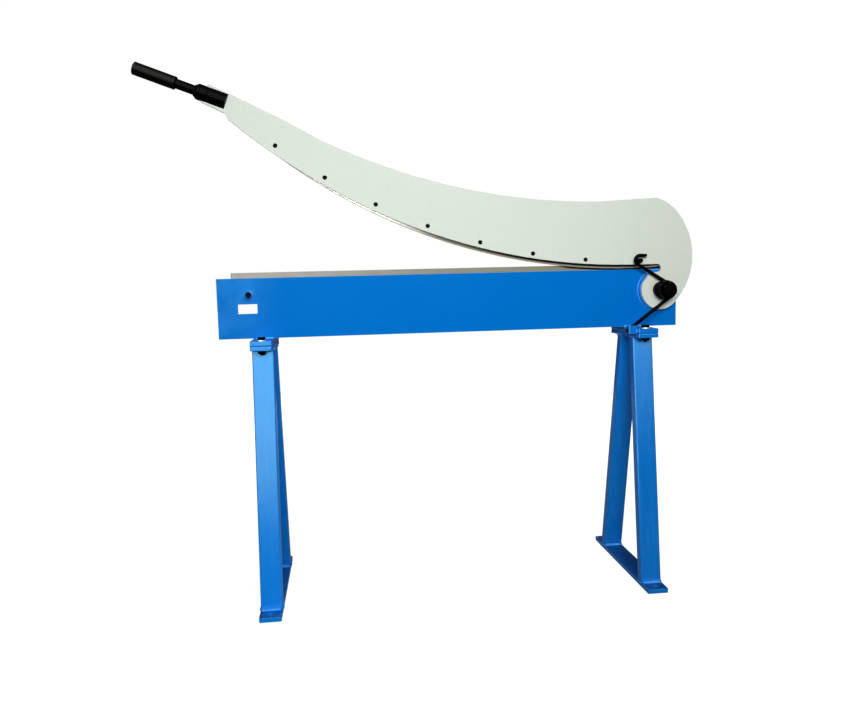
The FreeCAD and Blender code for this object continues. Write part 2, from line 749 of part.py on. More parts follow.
def spring_gap():
    """The least gap between two stretches of the wire that lie over half a turn apart."""
    points = []
    for e in spring_path():
        count = max(2, int(e.Length))
        points += e.discretize(count)[:-1]
    apart = int(coil_radius * math.pi)
    pairs = [(i, j) for i in range(len(points)) for j in range(i + apart, len(points))]
    return min((points[i] - points[j]).Length for i, j in pairs) - WIRE


def spring_anchor_block():
    centre = block_centre()
    x0 = centre.x - BLOCK_WIDTH / 2
    y0 = centre.y - BLOCK_DEPTH / 2
    block = box(x0, x0 + BLOCK_WIDTH, y0, y0 + BLOCK_DEPTH, lug_bottom, lug_bottom + BLOCK_HEIGHT)
    block = block.makeFillet(BLOCK_CORNER, upright_edges(block))
    last = spring_path()[-1]
    start = last.Vertexes[0].Point
    run = last.Vertexes[1].Point - start
    return block.cut(Part.makeCylinder(WIRE / 2 + WIRE_CLEARANCE, run.Length + WIRE, start, run))


def stop_sleeve():
    front = face_y - STOP_SLEEVE_LENGTH
    sleeve = rod_y(stop_x, stop_z, STOP_SLEEVE_DIAMETER / 2, front, face_y)
    return bore_y(sleeve, stop_x, stop_z, STOP_SCREW_DIAMETER / 2 + FIT, front, face_y)


def stop_screw():
    front = face_y - STOP_SLEEVE_LENGTH - STOP_HEAD_HEIGHT
    tip = web_back_y + STOP_NUT_HEIGHT + STOP_END
    return socket_screw(stop_x, stop_z, STOP_SCREW_DIAMETER, STOP_SLEEVE_DIAMETER, STOP_HEAD_HEIGHT,
                        STOP_SOCKET_FLATS, front, tip)


def stop_nut():
    end = web_back_y + STOP_NUT_HEIGHT
    nut = chamfered_hexagon(STOP_NUT_FLATS, STOP_NUT_HEIGHT, V(stop_x, web_back_y, stop_z), V(0, 1, 0))
    return bore_y(nut, stop_x, stop_z, STOP_SCREW_DIAMETER / 2 + FIT, web_back_y, end)


def label_plate():
    x = left_x + LABEL_INSET
    z = beam_bottom + LABEL_ABOVE_BOTTOM
    return box(x, x + LABEL_LENGTH, face_y - LABEL_THICKNESS, face_y, z, z + LABEL_HEIGHT)


def joint_plate(x, z0, z1):
    """A flat bar across the beam with its two bolt holes; its edges at the joint are rounded."""
    plate = box(x - PLATE_WIDTH / 2, x + PLATE_WIDTH / 2, plate_front_y, plate_back_y, z0, z1)
    plate = plate.makeFillet(PLATE_CORNER, upright_edges(plate))
    plate = plate.makeFillet(PLATE_ROUND, level_edges(plate, lug_bottom))
    welded = z0 + z1 - lug_bottom
    plate = plate.makeFillet(PLATE_EDGE, level_edges(plate, welded))
    for y in (front_bolt_y, rear_bolt_y):
        plate = bore_z(plate, x, y, LEG_BOLT_DIAMETER / 2 + BOLT_CLEARANCE, z0, z1)
    return plate


def foot_bar(x):
    foot = box(x - FOOT_WIDTH / 2, x + FOOT_WIDTH / 2, -FOOT_LENGTH / 2, FOOT_LENGTH / 2, 0, FOOT_THICKNESS)
    foot = foot.makeFillet(FOOT_CORNER, upright_edges(foot))
    reach = FOOT_LENGTH / 2 - ANCHOR_INSET
    for y in (-reach, reach):
        foot = bore_z(foot, x, y, ANCHOR_HOLE / 2, 0, FOOT_THICKNESS)
    return foot


def leg(x, bottom_y, top_y, side):
    """A slanted tube; bottom_y and top_y are its outer face, and side points to its inner face."""
    slant = math.hypot(LEG_RISE, top_y - bottom_y) / LEG_RISE
    depth = LEG_THICKNESS * slant
    run = V(0, top_y - bottom_y, LEG_RISE)

    def bar(shrink, corner):
        y0 = bottom_y + side * shrink * slant
        y1 = bottom_y + side * (depth - shrink * slant)
        low, high = min(y0, y1), max(y0, y1)
        x0 = x - LEG_WIDTH / 2 + shrink
        x1 = x + LEG_WIDTH / 2 - shrink
        block = box(x0, x1, low, high, FOOT_THICKNESS, FOOT_THICKNESS + 1)
        block = block.makeFillet(corner, [e for e in block.Edges if abs(e.Length - 1) < 1e-6])
        base = min(block.Faces, key=lambda f: f.CenterOfMass.z)
        return base.extrude(run)

    return bar(0, LEG_CORNER).cut(bar(LEG_WALL, LEG_CORNER - LEG_WALL))


def leg_bolt(x, y):
    head_z = beam_bottom + LEG_WASHER_THICKNESS
    tip = plate_bottom - LEG_NUT_HEIGHT - LEG_BOLT_PAST_NUT
    head = chamfered_hexagon(LEG_BOLT_FLATS, LEG_BOLT_HEAD, V(x, y, head_z), V(0, 0, 1))
    return head.fuse(rod_z(x, y, LEG_BOLT_DIAMETER / 2, tip, head_z)).removeSplitter()


def leg_washer(x, y):
    top = beam_bottom + LEG_WASHER_THICKNESS
    washer = rod_z(x, y, LEG_WASHER_DIAMETER / 2, beam_bottom, top)
    return bore_z(washer, x, y, LEG_BOLT_DIAMETER / 2 + HEAD_CLEARANCE, beam_bottom, top)


def leg_nut(x, y):
    nut = chamfered_hexagon(LEG_BOLT_FLATS, LEG_NUT_HEIGHT, V(x, y, plate_bottom), V(0, 0, -1))
    return bore_z(nut, x, y, LEG_BOLT_DIAMETER / 2 + FIT, plate_bottom - LEG_NUT_HEIGHT, plate_bottom)


# Handle, along an axis through the middle of the tang's end; s runs from there towards the arm
def handle_axis():
    _, low, high = tang_points()
    middle = at((low[0] + high[0]) / 2, (low[1] + high[1]) / 2, arm_middle_y)
    slope = math.radians(HANDLE_ANGLE)
    along = V(math.cos(slope), 0, -math.sin(slope))
    return middle + V(along.z, 0, -along.x) * HANDLE_DROP, along


def turned(profile):
    """A body of revolution on the handle's axis from pairs of place and radius."""
    start, along = handle_axis()
    out = V(-along.z, 0, along.x)
    corners = [start + along * s + out * r for s, r in profile]
    return Part.Face(Part.makePolygon(corners + corners[:1])).revolve(start, along, 360)


socket_back = -SOCKET_SOLID - SOCKET_CHAMFER
rod_end = socket_back + ROD_SEAT
grip_near = socket_back - ROD_SHOWN
grip_far = grip_near - GRIP_LENGTH


def handle_socket():
    radius = SOCKET_DIAMETER / 2
    groove = SOCKET_GROOVE / 2
    waist = radius - groove
    socket = turned([
        (SOCKET_OVERLAP, 0),
        (SOCKET_OVERLAP, radius),
        (SOCKET_GROOVE_AT + groove, radius),
        (SOCKET_GROOVE_AT, waist),
        (SOCKET_GROOVE_AT - groove, radius),
        (-SOCKET_SOLID, radius),
        (socket_back, ROD_DIAMETER / 2 + SOCKET_LIP),
        (socket_back, 0),
    ])
    start, along = handle_axis()
    bore = Part.makeCylinder(ROD_DIAMETER / 2 + FIT, ROD_SEAT + 1, start + along * (socket_back - 1), along)
    slot = slab(arm_outline(), arm_front_y - FIT, arm_back_y + FIT)
    return socket.cut(bore).cut(slot)


def handle_rod():
    start, along = handle_axis()
    far = grip_far + GRIP_CAP
    return Part.makeCylinder(ROD_DIAMETER / 2, rod_end - far, start + along * far, along)


def handle_grip():
    start, along = handle_axis()
    grip = Part.makeCylinder(GRIP_DIAMETER / 2, GRIP_LENGTH, start + along * grip_far, along)
    for end, rounding in ((min, GRIP_ROUND), (max, GRIP_NEAR_ROUND)):
        rims = [e for e in grip.Edges if e.Curve.TypeId == "Part::GeomCircle"]
        grip = grip.makeFillet(rounding, [end(rims, key=lambda e: e.CenterOfMass.x)])
    cap = start + along * (grip_far + GRIP_CAP)
    return grip.cut(Part.makeCylinder(ROD_DIAMETER / 2 + FIT, GRIP_LENGTH, cap, along))


# Every piece by name
pieces = {
    "front_beam": front_beam(),
    "lower_blade": lower_blade(),
    "table_plate": table_plate(),
    "pivot_boss": pivot_boss(),
    "pivot_backing": pivot_backing(),
    "pivot_stud": pivot_stud(),
    "spring_sleeve": spring_sleeve(),
    "pivot_washer": pivot_washer(),
    "pivot_nut": pivot_nut(),
    "return_spring": return_spring(),
    "spring_anchor_block": spring_anchor_block(),
    "stop_sleeve": stop_sleeve(),
    "stop_screw": stop_screw(),
    "stop_nut": stop_nut(),
    "label_plate": label_plate(),
    "arm_plate": arm_plate(),
    "upper_blade": upper_blade(),
    "hook_pin": hook_pin(),
    "pivot_bush": pivot_bush(),
    "handle_socket": handle_socket(),
    "handle_rod": handle_rod(),
    "handle_grip": handle_grip(),
}
for k, x in enumerate(lower_screw_places()):
    pieces[f"lower_blade_screw_{k + 1}"] = lower_blade_screw(x)
for k, place in enumerate(screw_places()):
    pieces[f"blade_screw_{k + 1}"] = blade_screw(place)
for k in range(BRACKET_COUNT):
    pieces[f"table_bracket_{k + 1}"] = table_bracket(k)
front_y = -FOOT_LENGTH / 2 + FRONT_LEG_INSET
rear_y = FOOT_LENGTH / 2 - REAR_LEG_INSET
front_top_y = plate_front_y + FRONT_TOP_INSET
rear_top_y = plate_back_y - REAR_TOP_INSET
for side, x in (("left", -foot_x), ("right", foot_x)):
    pieces[f"{side}_lug_plate"] = joint_plate(x, lug_bottom, beam_bottom)
    pieces[f"{side}_leg_plate"] = joint_plate(x, plate_bottom, lug_bottom)
    pieces[f"{side}_foot_bar"] = foot_bar(x)
    pieces[f"{side}_front_leg"] = leg(x, front_y, front_top_y, 1)
    pieces[f"{side}_rear_leg"] = leg(x, rear_y, rear_top_y, -1)
    for end, y in (("front", front_bolt_y), ("rear", rear_bolt_y)):
        pieces[f"{side}_{end}_bolt"] = leg_bolt(x, y)
        pieces[f"{side}_{end}_washer"] = leg_washer(x, y)
        pieces[f"{side}_{end}_nut"] = leg_nut(x, y)

os.makedirs("parts", exist_ok=True)
for name, shape in pieces.items():
    shape.exportStep(f"parts/{name}.step")
    if not shape.isValid() or len(shape.Solids) != 1:
        print("check", name, shape.isValid(), len(shape.Solids))
print("pieces", len(pieces))
print("least gap of the wire to itself", round(spring_gap(), 2))
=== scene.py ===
# %% [markdown]
# # Dressing a guillotine shear
# The solids of the shear arrive finished: a channel beam on two pairs of splayed legs, a curved arm that
# swings on one bolt, and the blades between them. This lesson gives them their looks: enamel, ground steel,
# oiled black steel, weld beads and a torsion spring swept again as one wire.

import math
import random

import bmesh
import bpy
from mathutils import Matrix, Vector


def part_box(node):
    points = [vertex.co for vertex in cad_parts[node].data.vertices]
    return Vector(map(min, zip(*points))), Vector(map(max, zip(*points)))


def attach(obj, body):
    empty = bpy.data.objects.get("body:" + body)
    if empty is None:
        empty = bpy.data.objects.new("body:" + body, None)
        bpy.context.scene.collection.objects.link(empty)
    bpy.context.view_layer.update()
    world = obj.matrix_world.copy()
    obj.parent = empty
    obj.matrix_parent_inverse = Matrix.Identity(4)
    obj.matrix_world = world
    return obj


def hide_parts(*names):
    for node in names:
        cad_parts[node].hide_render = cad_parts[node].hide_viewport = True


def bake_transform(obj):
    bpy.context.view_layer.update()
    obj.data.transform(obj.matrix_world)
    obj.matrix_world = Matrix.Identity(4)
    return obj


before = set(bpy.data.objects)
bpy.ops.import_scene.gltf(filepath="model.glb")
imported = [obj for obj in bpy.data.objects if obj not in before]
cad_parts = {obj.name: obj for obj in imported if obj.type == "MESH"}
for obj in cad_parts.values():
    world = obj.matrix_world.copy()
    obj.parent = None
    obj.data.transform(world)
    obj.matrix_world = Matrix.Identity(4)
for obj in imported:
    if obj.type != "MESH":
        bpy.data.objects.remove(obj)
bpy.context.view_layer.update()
MM = 0.001
print("solids", len(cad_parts))

# %% [markdown]
# ## The camera
# The photograph was taken from the height of the table, a little left of the shear's middle, with a lens
# slightly wider than normal. The camera looks down by five and a half degrees and leans a little, which the
# beam's slight slope across the picture shows. A camera that is aimed at a target would stay upright, so the
# three axes are worked out from the three angles.

# %% Camera
CAMERA_PLACE = Vector((-0.26585, -1.8561, 0.76022))
CAMERA_YAW = math.radians(6.60)
CAMERA_PITCH = math.radians(-5.48)
CAMERA_ROLL = math.radians(-1.38)
LENS = 31.49
SENSOR_WIDTH = 36

ahead = Vector((math.sin(CAMERA_YAW) * math.cos(CAMERA_PITCH),
                math.cos(CAMERA_YAW) * math.cos(CAMERA_PITCH), math.sin(CAMERA_PITCH)))
level = Vector((math.cos(CAMERA_YAW), -math.sin(CAMERA_YAW), 0))
upright = level.cross(ahead)
across = level * math.cos(CAMERA_ROLL) + upright * math.sin(CAMERA_ROLL)
above = upright * math.cos(CAMERA_ROLL) - level * math.sin(CAMERA_ROLL)
camera_data = bpy.data.cameras.new("camera")
camera_data.lens = LENS
camera_data.sensor_width = SENSOR_WIDTH
camera = bpy.data.objects.new("camera", camera_data)
bpy.context.scene.collection.objects.link(camera)
axes = Matrix((across, above, -ahead)).transposed().to_4x4()
camera.matrix_world = Matrix.Translation(CAMERA_PLACE) @ axes
bpy.context.scene.camera = camera
print("camera looks along", [round(v, 3) for v in ahead])

# %% [markdown]
# ## Writing finishes as sums
# A paint is a handful of patterns added and multiplied. Drawn as a node tree, that sum hides behind wires, so
# one small class holds a socket and turns Python's own signs into Math nodes. Every other node comes from one
# method, which takes the node's type, its settings and what goes into its sockets.

# %% A socket that can be added and multiplied
class Field:
    """A value that changes over a surface."""

    def __init__(self, tree, socket):
        self.tree = tree
        self.socket = socket

    def math(self, operation, a, b=0.0):
        return self.tree.add("ShaderNodeMath", {"operation": operation}, {0: a, 1: b})

    def __add__(self, other):
        return self.math("ADD", self, other)

    __radd__ = __add__

    def __sub__(self, other):
        return self.math("SUBTRACT", self, other)

    def __rsub__(self, other):
        return self.math("SUBTRACT", other, self)

    def __mul__(self, other):
        return self.math("MULTIPLY", self, other)

    __rmul__ = __mul__

    def __pow__(self, other):
        return self.math("POWER", self, other)

    def __abs__(self):
        return self.math("ABSOLUTE", self)


# %% A tree of nodes
class NodeTree:
    """The nodes of one material or of the world."""

    def __init__(self, owner, shader, output):
        owner.use_nodes = True
        self.owner = owner
        self.nodes = owner.node_tree.nodes
        self.links = owner.node_tree.links
        self.nodes.clear()
        self.shader = self.nodes.new(shader)
        self.links.new(self.shader.outputs[0], self.nodes.new(output).inputs["Surface"])

    def add(self, kind, settings=None, sockets=None, output=0):
        """A node of this kind; its settings come first, then the values or links of its sockets."""
        node = self.nodes.new(kind)
        for name, value in (settings or {}).items():
            setattr(node, name, value)
        for name, value in (sockets or {}).items():
            self.join(node.inputs[name], value)
        return Field(self, node.outputs[output])

    def join(self, socket, value):
        if isinstance(value, Field):
            self.links.new(value.socket, socket)
        elif socket.type == "RGBA":
            socket.default_value = (*value, 1.0)
        else:
            socket.default_value = value

    def set(self, **sockets):
        """Values or links of the shader's own sockets; an underscore stands for a space."""
        for name, value in sockets.items():
            self.join(self.shader.inputs[name.replace("_", " ")], value)

    def split(self, vector):
        """The x, y and z of a vector."""
        x = self.add("ShaderNodeSeparateXYZ", {}, {0: vector})
        return [Field(self, part) for part in x.socket.node.outputs]

    def rise(self, value, low, high):
        """0 below low, 1 above high, and smooth between."""
        return self.add("ShaderNodeMapRange", {"interpolation_type": "SMOOTHSTEP"},
                        {"Value": value, "From Min": low, "From Max": high})

    def fall(self, value, low, high):
        """1 below low, 0 above high, and smooth between."""
        return 1 - self.rise(value, low, high)


# %% [markdown]
# Paint and steel share a few patterns: soft noise for mottle and stains, a mask for worn edges, and small
# relief. The edge mask compares the surface's true normal with the one that the Bevel node rounds off, so it
# follows every edge without anything painted by hand.

# %% A finish and its patterns
COLOUR_MIX = {"data_type": "RGBA"}
SHARE, FIRST, SECOND, MIXED = 0, 6, 7, 2  # the Mix node's sockets for colours
BEVEL_SAMPLES = 6


class Finish(NodeTree):
    """A material and the patterns that its looks are put together from."""

    def __init__(self, name):
        material = bpy.data.materials.new(name)
        super().__init__(material, "ShaderNodeBsdfPrincipled", "ShaderNodeOutputMaterial")

    def place(self, stretch=(1.0, 1.0, 1.0)):
        """The point on the surface, in metres, with each axis stretched."""
        spot = self.add("ShaderNodeTexCoord", output="Object")
        return self.add("ShaderNodeMapping", {}, {"Vector": spot, "Scale": stretch})

    def noise(self, size, detail=2.0, stretch=(1.0, 1.0, 1.0), rough=0.5, at=None):
        """Soft noise about 0 with spots of this size in metres, at the surface or at a point worked out."""
        spot = self.place(stretch) if at is None else at
        sockets = {"Vector": spot, "Scale": 1 / size, "Detail": detail, "Roughness": rough}
        return self.add("ShaderNodeTexNoise", {}, sockets) - 0.5

    def vary(self, middle, size, swing, detail=2.0):
        """A number that swings about its middle in spots of this size."""
        return middle + self.noise(size, detail) * swing

    def mix(self, share, first, second):
        """The first colour where share is 0, the second where it is 1."""
        return self.add("ShaderNodeMix", COLOUR_MIX, {SHARE: share, FIRST: first, SECOND: second}, MIXED)

    def shade(self, tone, amount):
        """The colour times an amount between 0 and 2 that changes."""
        return self.mix(amount * 0.5, (0.0, 0.0, 0.0), tuple(2 * c for c in tone))

    def rounded(self, radius):
        """The normal as if the edges had this radius."""
        return self.add("ShaderNodeBevel", {"samples": BEVEL_SAMPLES}, {"Radius": radius})

    def edges(self, radius, low=0.01, high=0.12):
        """1 on the edges, 0 on the flats."""
        true = self.add("ShaderNodeNewGeometry", output="True Normal")
        dot = self.add("ShaderNodeVectorMath", {"operation": "DOT_PRODUCT"},
                       {0: self.rounded(radius), 1: true}, "Value")
        return self.rise(1 - dot, low, high)

    def upward(self):
        """1 where the surface faces straight up, 0 where it stands."""
        true = self.add("ShaderNodeNewGeometry", output="True Normal")
        return self.split(true)[2]

    def bump(self, height, depth, normal=None):
        """The normal of a relief of this depth, on top of another normal where one is given."""
        sockets = {"Height": height, "Distance": depth, "Strength": 1.0}
        if normal is not None:
            sockets["Normal"] = normal
        return self.add("ShaderNodeBump", {}, sockets)


# %% [markdown]
# Colours are written as they show on a screen, 0 to 255, because that is how they are compared with a
# photograph. Blender works with light, so each channel goes through the screen's curve backwards: a short
# straight foot, then a power.

# %% Screen colours
CURVE_FOOT = 10
CURVE_FOOT_SLOPE = 12.92
CURVE_SHIFT = 0.055
CURVE_POWER = 2.4


def light(channel):
    if channel <= CURVE_FOOT:
        return channel / 255 / CURVE_FOOT_SLOPE
    return ((channel / 255 + CURVE_SHIFT) / (1 + CURVE_SHIFT)) ** CURVE_POWER


def colour(red, green, blue):
    return light(red), light(green), light(blue)


print("half grey as light", round(light(128), 3))

# %% [markdown]
# ## Blue enamel
# The stand is sprayed with a saturated blue enamel. Sprayed enamel is never flat: it has a fine peel, a
# mottle of a few millimetres and a few knocks where the grey steel shows. Its edges get a painted highlight,
# a paler blue where they would catch the light. An image wrapped round the steel could carry all this, but
# every piece would need unwrapping. Noise in the object's own metres fits any piece and keeps its scale, so
# this lesson takes that way.
#
# Four kinds of the same paint are needed. The beam's flat face is nearly matt, the plates and feet are
# glossy, the legs have faint painted highlight streaks down their length, and the weld beads have a brighter
# tone, a painted highlight.

# %% Colours of the blue enamel
BLUE = colour(0, 108, 195)
# painted highlight colour for edges, leg streaks and the lit beam end
BLUE_HIGHLIGHT = colour(70, 160, 240)
# painted shade colour for the feet's upper faces
BLUE_SHADE = colour(0, 38, 96)
# painted highlight: the weld beads get a brighter blue, as if catching the light
BLUE_WELD_HIGHLIGHT = colour(12, 124, 214)
BLUE_GLINT = (0.36, 0.85, 1.0)
BARE_STEEL = colour(92, 96, 100)
RUST = colour(70, 52, 36)
print("blue as light", [round(c, 3) for c in BLUE])

# %% [markdown]
# Some marks belong to one place. The beam's left end and the left front foot are lightened as painted light,
# the tops of the feet are darkened as painted shade, and a short rusty scratch runs below the pivot's boss.
# Each is a mask that is worked out from the point's own x, y and z.

# %% Marks that belong to one place
beam_low, beam_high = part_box("front_beam")
# painted light: the beam's left end is paler, as if lit more strongly
LIT_END_SPAN = (beam_low.x + 60 * MM, beam_low.x + 160 * MM)
LIT_END_LOW = (0.60, 0.64)
LIT_END_SHARE = 0.14
# painted light: the left front foot and the lower end of its leg are made brighter
LOW_LEFT_X = (-0.4, -0.2)
LOW_LEFT_Y = (-0.08, -0.02)
LOW_LEFT_Z = (0.05, 0.4)
# painted shade: upper faces near the floor are darkened
TOP_SHADE_HEIGHT = (12 * MM, 20 * MM)
TOP_SHADE_SHARE = 0.75
LYING = (0.6, 0.95)
SCRATCH = ((0.5276, 0.6672), (0.5198, 0.6564))
SCRATCH_TAPER = 1 * MM
SCRATCH_SIDE = (0.6 * MM, 1.1 * MM)
SCRATCH_WANDER = 2 * MM
SCRATCH_DEEP = (beam_low.y + 0.5 * MM, beam_low.y + 1.5 * MM)


def painted_light_at_end(paint, x, z):
    """The share of painted light, a paler blue, at the beam's left end."""
    patch = paint.fall(x, *LIT_END_SPAN) * paint.rise(z, *LIT_END_LOW)
    return patch * paint.vary(LIT_END_SHARE, 50 * MM, swing=0.5)


def painted_light_low_left(paint, x, y, z):
    """1 on the left front foot and the lower end of its leg, where painted light brightens the paint."""
    return paint.fall(x, *LOW_LEFT_X) * paint.fall(y, *LOW_LEFT_Y) * paint.fall(z, *LOW_LEFT_Z)


def foot_top_shade(paint, z):
    """The share of painted shade on the feet's upper faces."""
    tops = paint.rise(paint.upward(), *LYING) * paint.fall(z, *TOP_SHADE_HEIGHT)
    return tops * paint.vary(TOP_SHADE_SHARE, 20 * MM, swing=0.5)


def scratch_mask(paint, x, y, z):
    """1 inside the scratch on the beam's face."""
    (x0, z0), (x1, z1) = SCRATCH
    length = math.hypot(x1 - x0, z1 - z0)
    along_x, along_z = (x1 - x0) / length, (z1 - z0) / length
    run = (x - x0) * along_x + (z - z0) * along_z
    off = abs((x - x0) * along_z - (z - z0) * along_x + paint.noise(4 * MM) * SCRATCH_WANDER)
    inside = paint.rise(run, 0.0, SCRATCH_TAPER) * paint.fall(run, length - SCRATCH_TAPER, length)
    return inside * paint.fall(off, *SCRATCH_SIDE) * paint.fall(y, *SCRATCH_DEEP)


print("scratch", round(math.dist(*SCRATCH) / MM, 1), "mm long")

# %% [markdown]
# Both enamels share their relief and their knocks. The peel is two noises, one fine and one broad. Knocks are
# the rare high spots of a rough noise, kept only where there is an edge, since that is where paint breaks.

# %% Relief and knocks of sprayed paint
KNOCK_DEPTH = 1.2
PAINT_ROUNDING = 0.8 * MM


def knocks_on(paint, edge, size, low, high):
    return paint.rise(paint.noise(size, detail=4.0, rough=0.7), low, high) * edge


def sprayed(paint, peel, knocks, depth):
    """The normal of sprayed paint; its peel is the size and strength of a fine and of a broad noise."""
    (fine, fine_share), (broad, broad_share) = peel
    height = paint.noise(fine) * fine_share + paint.noise(broad) * broad_share
    return paint.bump(height - knocks * KNOCK_DEPTH, depth, paint.rounded(PAINT_ROUNDING))


# %% Blue enamel
MOTTLE = 0.22
CLOUDS = 0.10
LOW_LEFT_LIFT = 0.36
EDGE_WIDTH = 1.8 * MM
EDGE_HIGHLIGHT_SHARE = 0.8
STREAK_SHAPE = (1.0, 1.0, 0.02)
STREAK_LIMITS = (-0.05, 0.2)
KNOCK_ROUGH = 0.2
TOP_SHADE_ROUGH = 0.3
BLUE_PEEL = ((2.2 * MM, 0.6), (12 * MM, 0.8))
BLUE_PEEL_DEPTH = 0.12 * MM


def blue_enamel(name, gloss, streak_share=0.0, tone=BLUE):
    paint = Finish(name)
    x, y, z = paint.split(paint.place())
    edge = paint.edges(EDGE_WIDTH)
    mottle = paint.vary(1, 4 * MM, MOTTLE, detail=3.0) + paint.noise(200 * MM) * CLOUDS
    # mottle, with painted light on the left front foot
    mottled_and_lit = paint.shade(tone, mottle * (1 + painted_light_low_left(paint, x, y, z) * LOW_LEFT_LIFT))
    # painted light on the beam's left end
    body = paint.mix(painted_light_at_end(paint, x, z), mottled_and_lit, BLUE_HIGHLIGHT)
    streak_highlights = paint.rise(paint.noise(11 * MM, stretch=STREAK_SHAPE), *STREAK_LIMITS) * streak_share
    # painted highlight: edges, and on the legs vertical streaks, are mixed towards a paler blue
    painted_edge_light = paint.mix(edge * EDGE_HIGHLIGHT_SHARE + streak_highlights * (1 - edge), body, BLUE_HIGHLIGHT)
    knocks = knocks_on(paint, edge, 12 * MM, low=0.22, high=0.26)
    worn = paint.mix(knocks, painted_edge_light, BARE_STEEL)
    marked = paint.mix(scratch_mask(paint, x, y, z), worn, RUST)
    # painted shade on the feet's upper faces
    top_shade = foot_top_shade(paint, z)
    smooth = paint.vary(0.18, 20 * MM, swing=0.1, detail=3.0)
    paint.set(Base_Color=paint.mix(top_shade, marked, BLUE_SHADE),
              Roughness=smooth + knocks * KNOCK_ROUGH + top_shade * TOP_SHADE_ROUGH,
              Specular_IOR_Level=gloss, Specular_Tint=BLUE_GLINT,
              Normal=sprayed(paint, BLUE_PEEL, knocks, BLUE_PEEL_DEPTH))
    return paint.owner


ENAMEL = blue_enamel("blue_enamel", gloss=0.7)
BEAM_ENAMEL = blue_enamel("beam_enamel", gloss=0.04)
LEG_ENAMEL = blue_enamel("leg_enamel", gloss=0.65, streak_share=0.07)
# the weld beads' brighter tone is a painted highlight
WELD_ENAMEL = blue_enamel("weld_enamel", gloss=0.6, tone=BLUE_WELD_HIGHLIGHT)
print("nodes in the blue enamel", len(ENAMEL.node_tree.nodes))

# %% [markdown]
# ## Grey-green enamel
# The arm plate is cut from sheet and sprayed a pale grey with a trace of green, nearly matt. Its peel is a
# little coarser than the stand's. Its edges are a shade darker, painted shade, and round the pivot the paint
# is darkened as painted shade of the coil's shadow, where a little grease also makes it smoother. It needs no
# drawing either: it is a mask on the distance to the pivot.

# %% Grey-green enamel
PALE = colour(206, 214, 204)
# painted shade colour for the arm's edges
PALE_EDGE_SHADE = colour(176, 180, 170)
# painted shade colour round the pivot
PIVOT_SHADE = colour(150, 150, 136)
PALE_CLOUDS = 0.06
PALE_GLOSS = 0.1
PALE_PEEL = ((2.8 * MM, 1.0), (15 * MM, 0.6))
PALE_PEEL_DEPTH = 0.14 * MM
EDGE_SHADE_SHARE = 0.35
SHADE_AND_GREASE_REACH = (22 * MM, 36 * MM)
PIVOT_SHADE_SHARE = 0.35
GREASE_SHINE = 0.1
pivot_low, pivot_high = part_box("pivot_stud")
pivot = (pivot_low + pivot_high) / 2


def distance(x, z, middle_x, middle_z):
    """How far a point lies from a middle, seen along the third axis."""
    return ((x - middle_x) ** 2 + (z - middle_z) ** 2) ** 0.5


def pale_enamel(name):
    paint = Finish(name)
    x, y, z = paint.split(paint.place())
    edge = paint.edges(1 * MM)
    mottle = paint.vary(1, 5 * MM, swing=0.07, detail=3.0) + paint.noise(300 * MM) * PALE_CLOUDS
    # painted shade: the edges are mixed towards a darker grey
    painted_edge_light = paint.mix(edge * EDGE_SHADE_SHARE, paint.shade(PALE, mottle), PALE_EDGE_SHADE)
    knocks = knocks_on(paint, edge, 16 * MM, low=0.17, high=0.2)
    chipped = paint.mix(knocks, painted_edge_light, BARE_STEEL)
    # painted shade of the coil round the pivot, with a grease shine in the roughness
    near = paint.fall(distance(x, z, pivot.x, pivot.z), *SHADE_AND_GREASE_REACH)
    shade_and_grease = near * paint.vary(0.55, 12 * MM, swing=1.0, detail=3.0)
    smooth = paint.vary(0.5, 30 * MM, swing=0.12, detail=3.0)
    paint.set(Base_Color=paint.mix(shade_and_grease * PIVOT_SHADE_SHARE, chipped, PIVOT_SHADE),
              Roughness=smooth - shade_and_grease * GREASE_SHINE, Specular_IOR_Level=PALE_GLOSS,
              Normal=sprayed(paint, PALE_PEEL, knocks, PALE_PEEL_DEPTH))
    return paint.owner


ARM_ENAMEL = pale_enamel("grey_green_enamel")
print("pivot at", [round(v, 4) for v in pivot])

# %% [markdown]
# ## Ground steel
# The blades are hardened steel, ground after hardening. A grinding wheel leaves fine lines along its path:
# straight on the lower blade, and round the arm's own centre on the curved one. The lines are noise that is
# stretched a hundred times along the path, or read from the distance to the curve's centre, which no
# stretched mapping could bend. Faint stains lie across them, and the steel is painted darker towards the
# pivot as painted shade.

# %% Ground steel
GRIND_ALONG = 0.01
BROAD_ALONG = 0.03
STEEL_GLINT = 0.08
STEEL_ROUNDING = 0.4 * MM
STEEL_ROUGH = 0.42
LINE_TONE, LINE_ROUGH, LINE_DEPTH = 0.35, 0.2, 0.04 * MM
BROAD_TONE = 0.25
STAIN_LIMITS = (0.02, 0.3)
STAIN_TONE, STAIN_ROUGH = 0.2, 0.12
FACE_DEPTH = 1 * MM


def stained(steel, tone, lines, broad):
    """The colour of ground steel and the mask of its stains."""
    stain = steel.rise(steel.noise(30 * MM, detail=4.0, rough=0.65), *STAIN_LIMITS)
    return steel.shade(tone, 1 + lines * LINE_TONE + broad * BROAD_TONE - stain * STAIN_TONE), stain


def ground(steel, tint, metal, lines, stain):
    """Sets what both blades share and gives back the material."""
    steel.set(Base_Color=tint, Metallic=metal, Specular_IOR_Level=STEEL_GLINT,
              Roughness=STEEL_ROUGH + lines * LINE_ROUGH + stain * STAIN_ROUGH,
              Normal=steel.bump(lines, LINE_DEPTH, steel.rounded(STEEL_ROUNDING)))
    return steel.owner


def front_face(steel, y, name):
    """1 on the blade's front face, 0 behind it."""
    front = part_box(name)[0].y
    return steel.fall(y, front, front + FACE_DEPTH)


print("ground lines", LINE_DEPTH / MM, "mm deep")


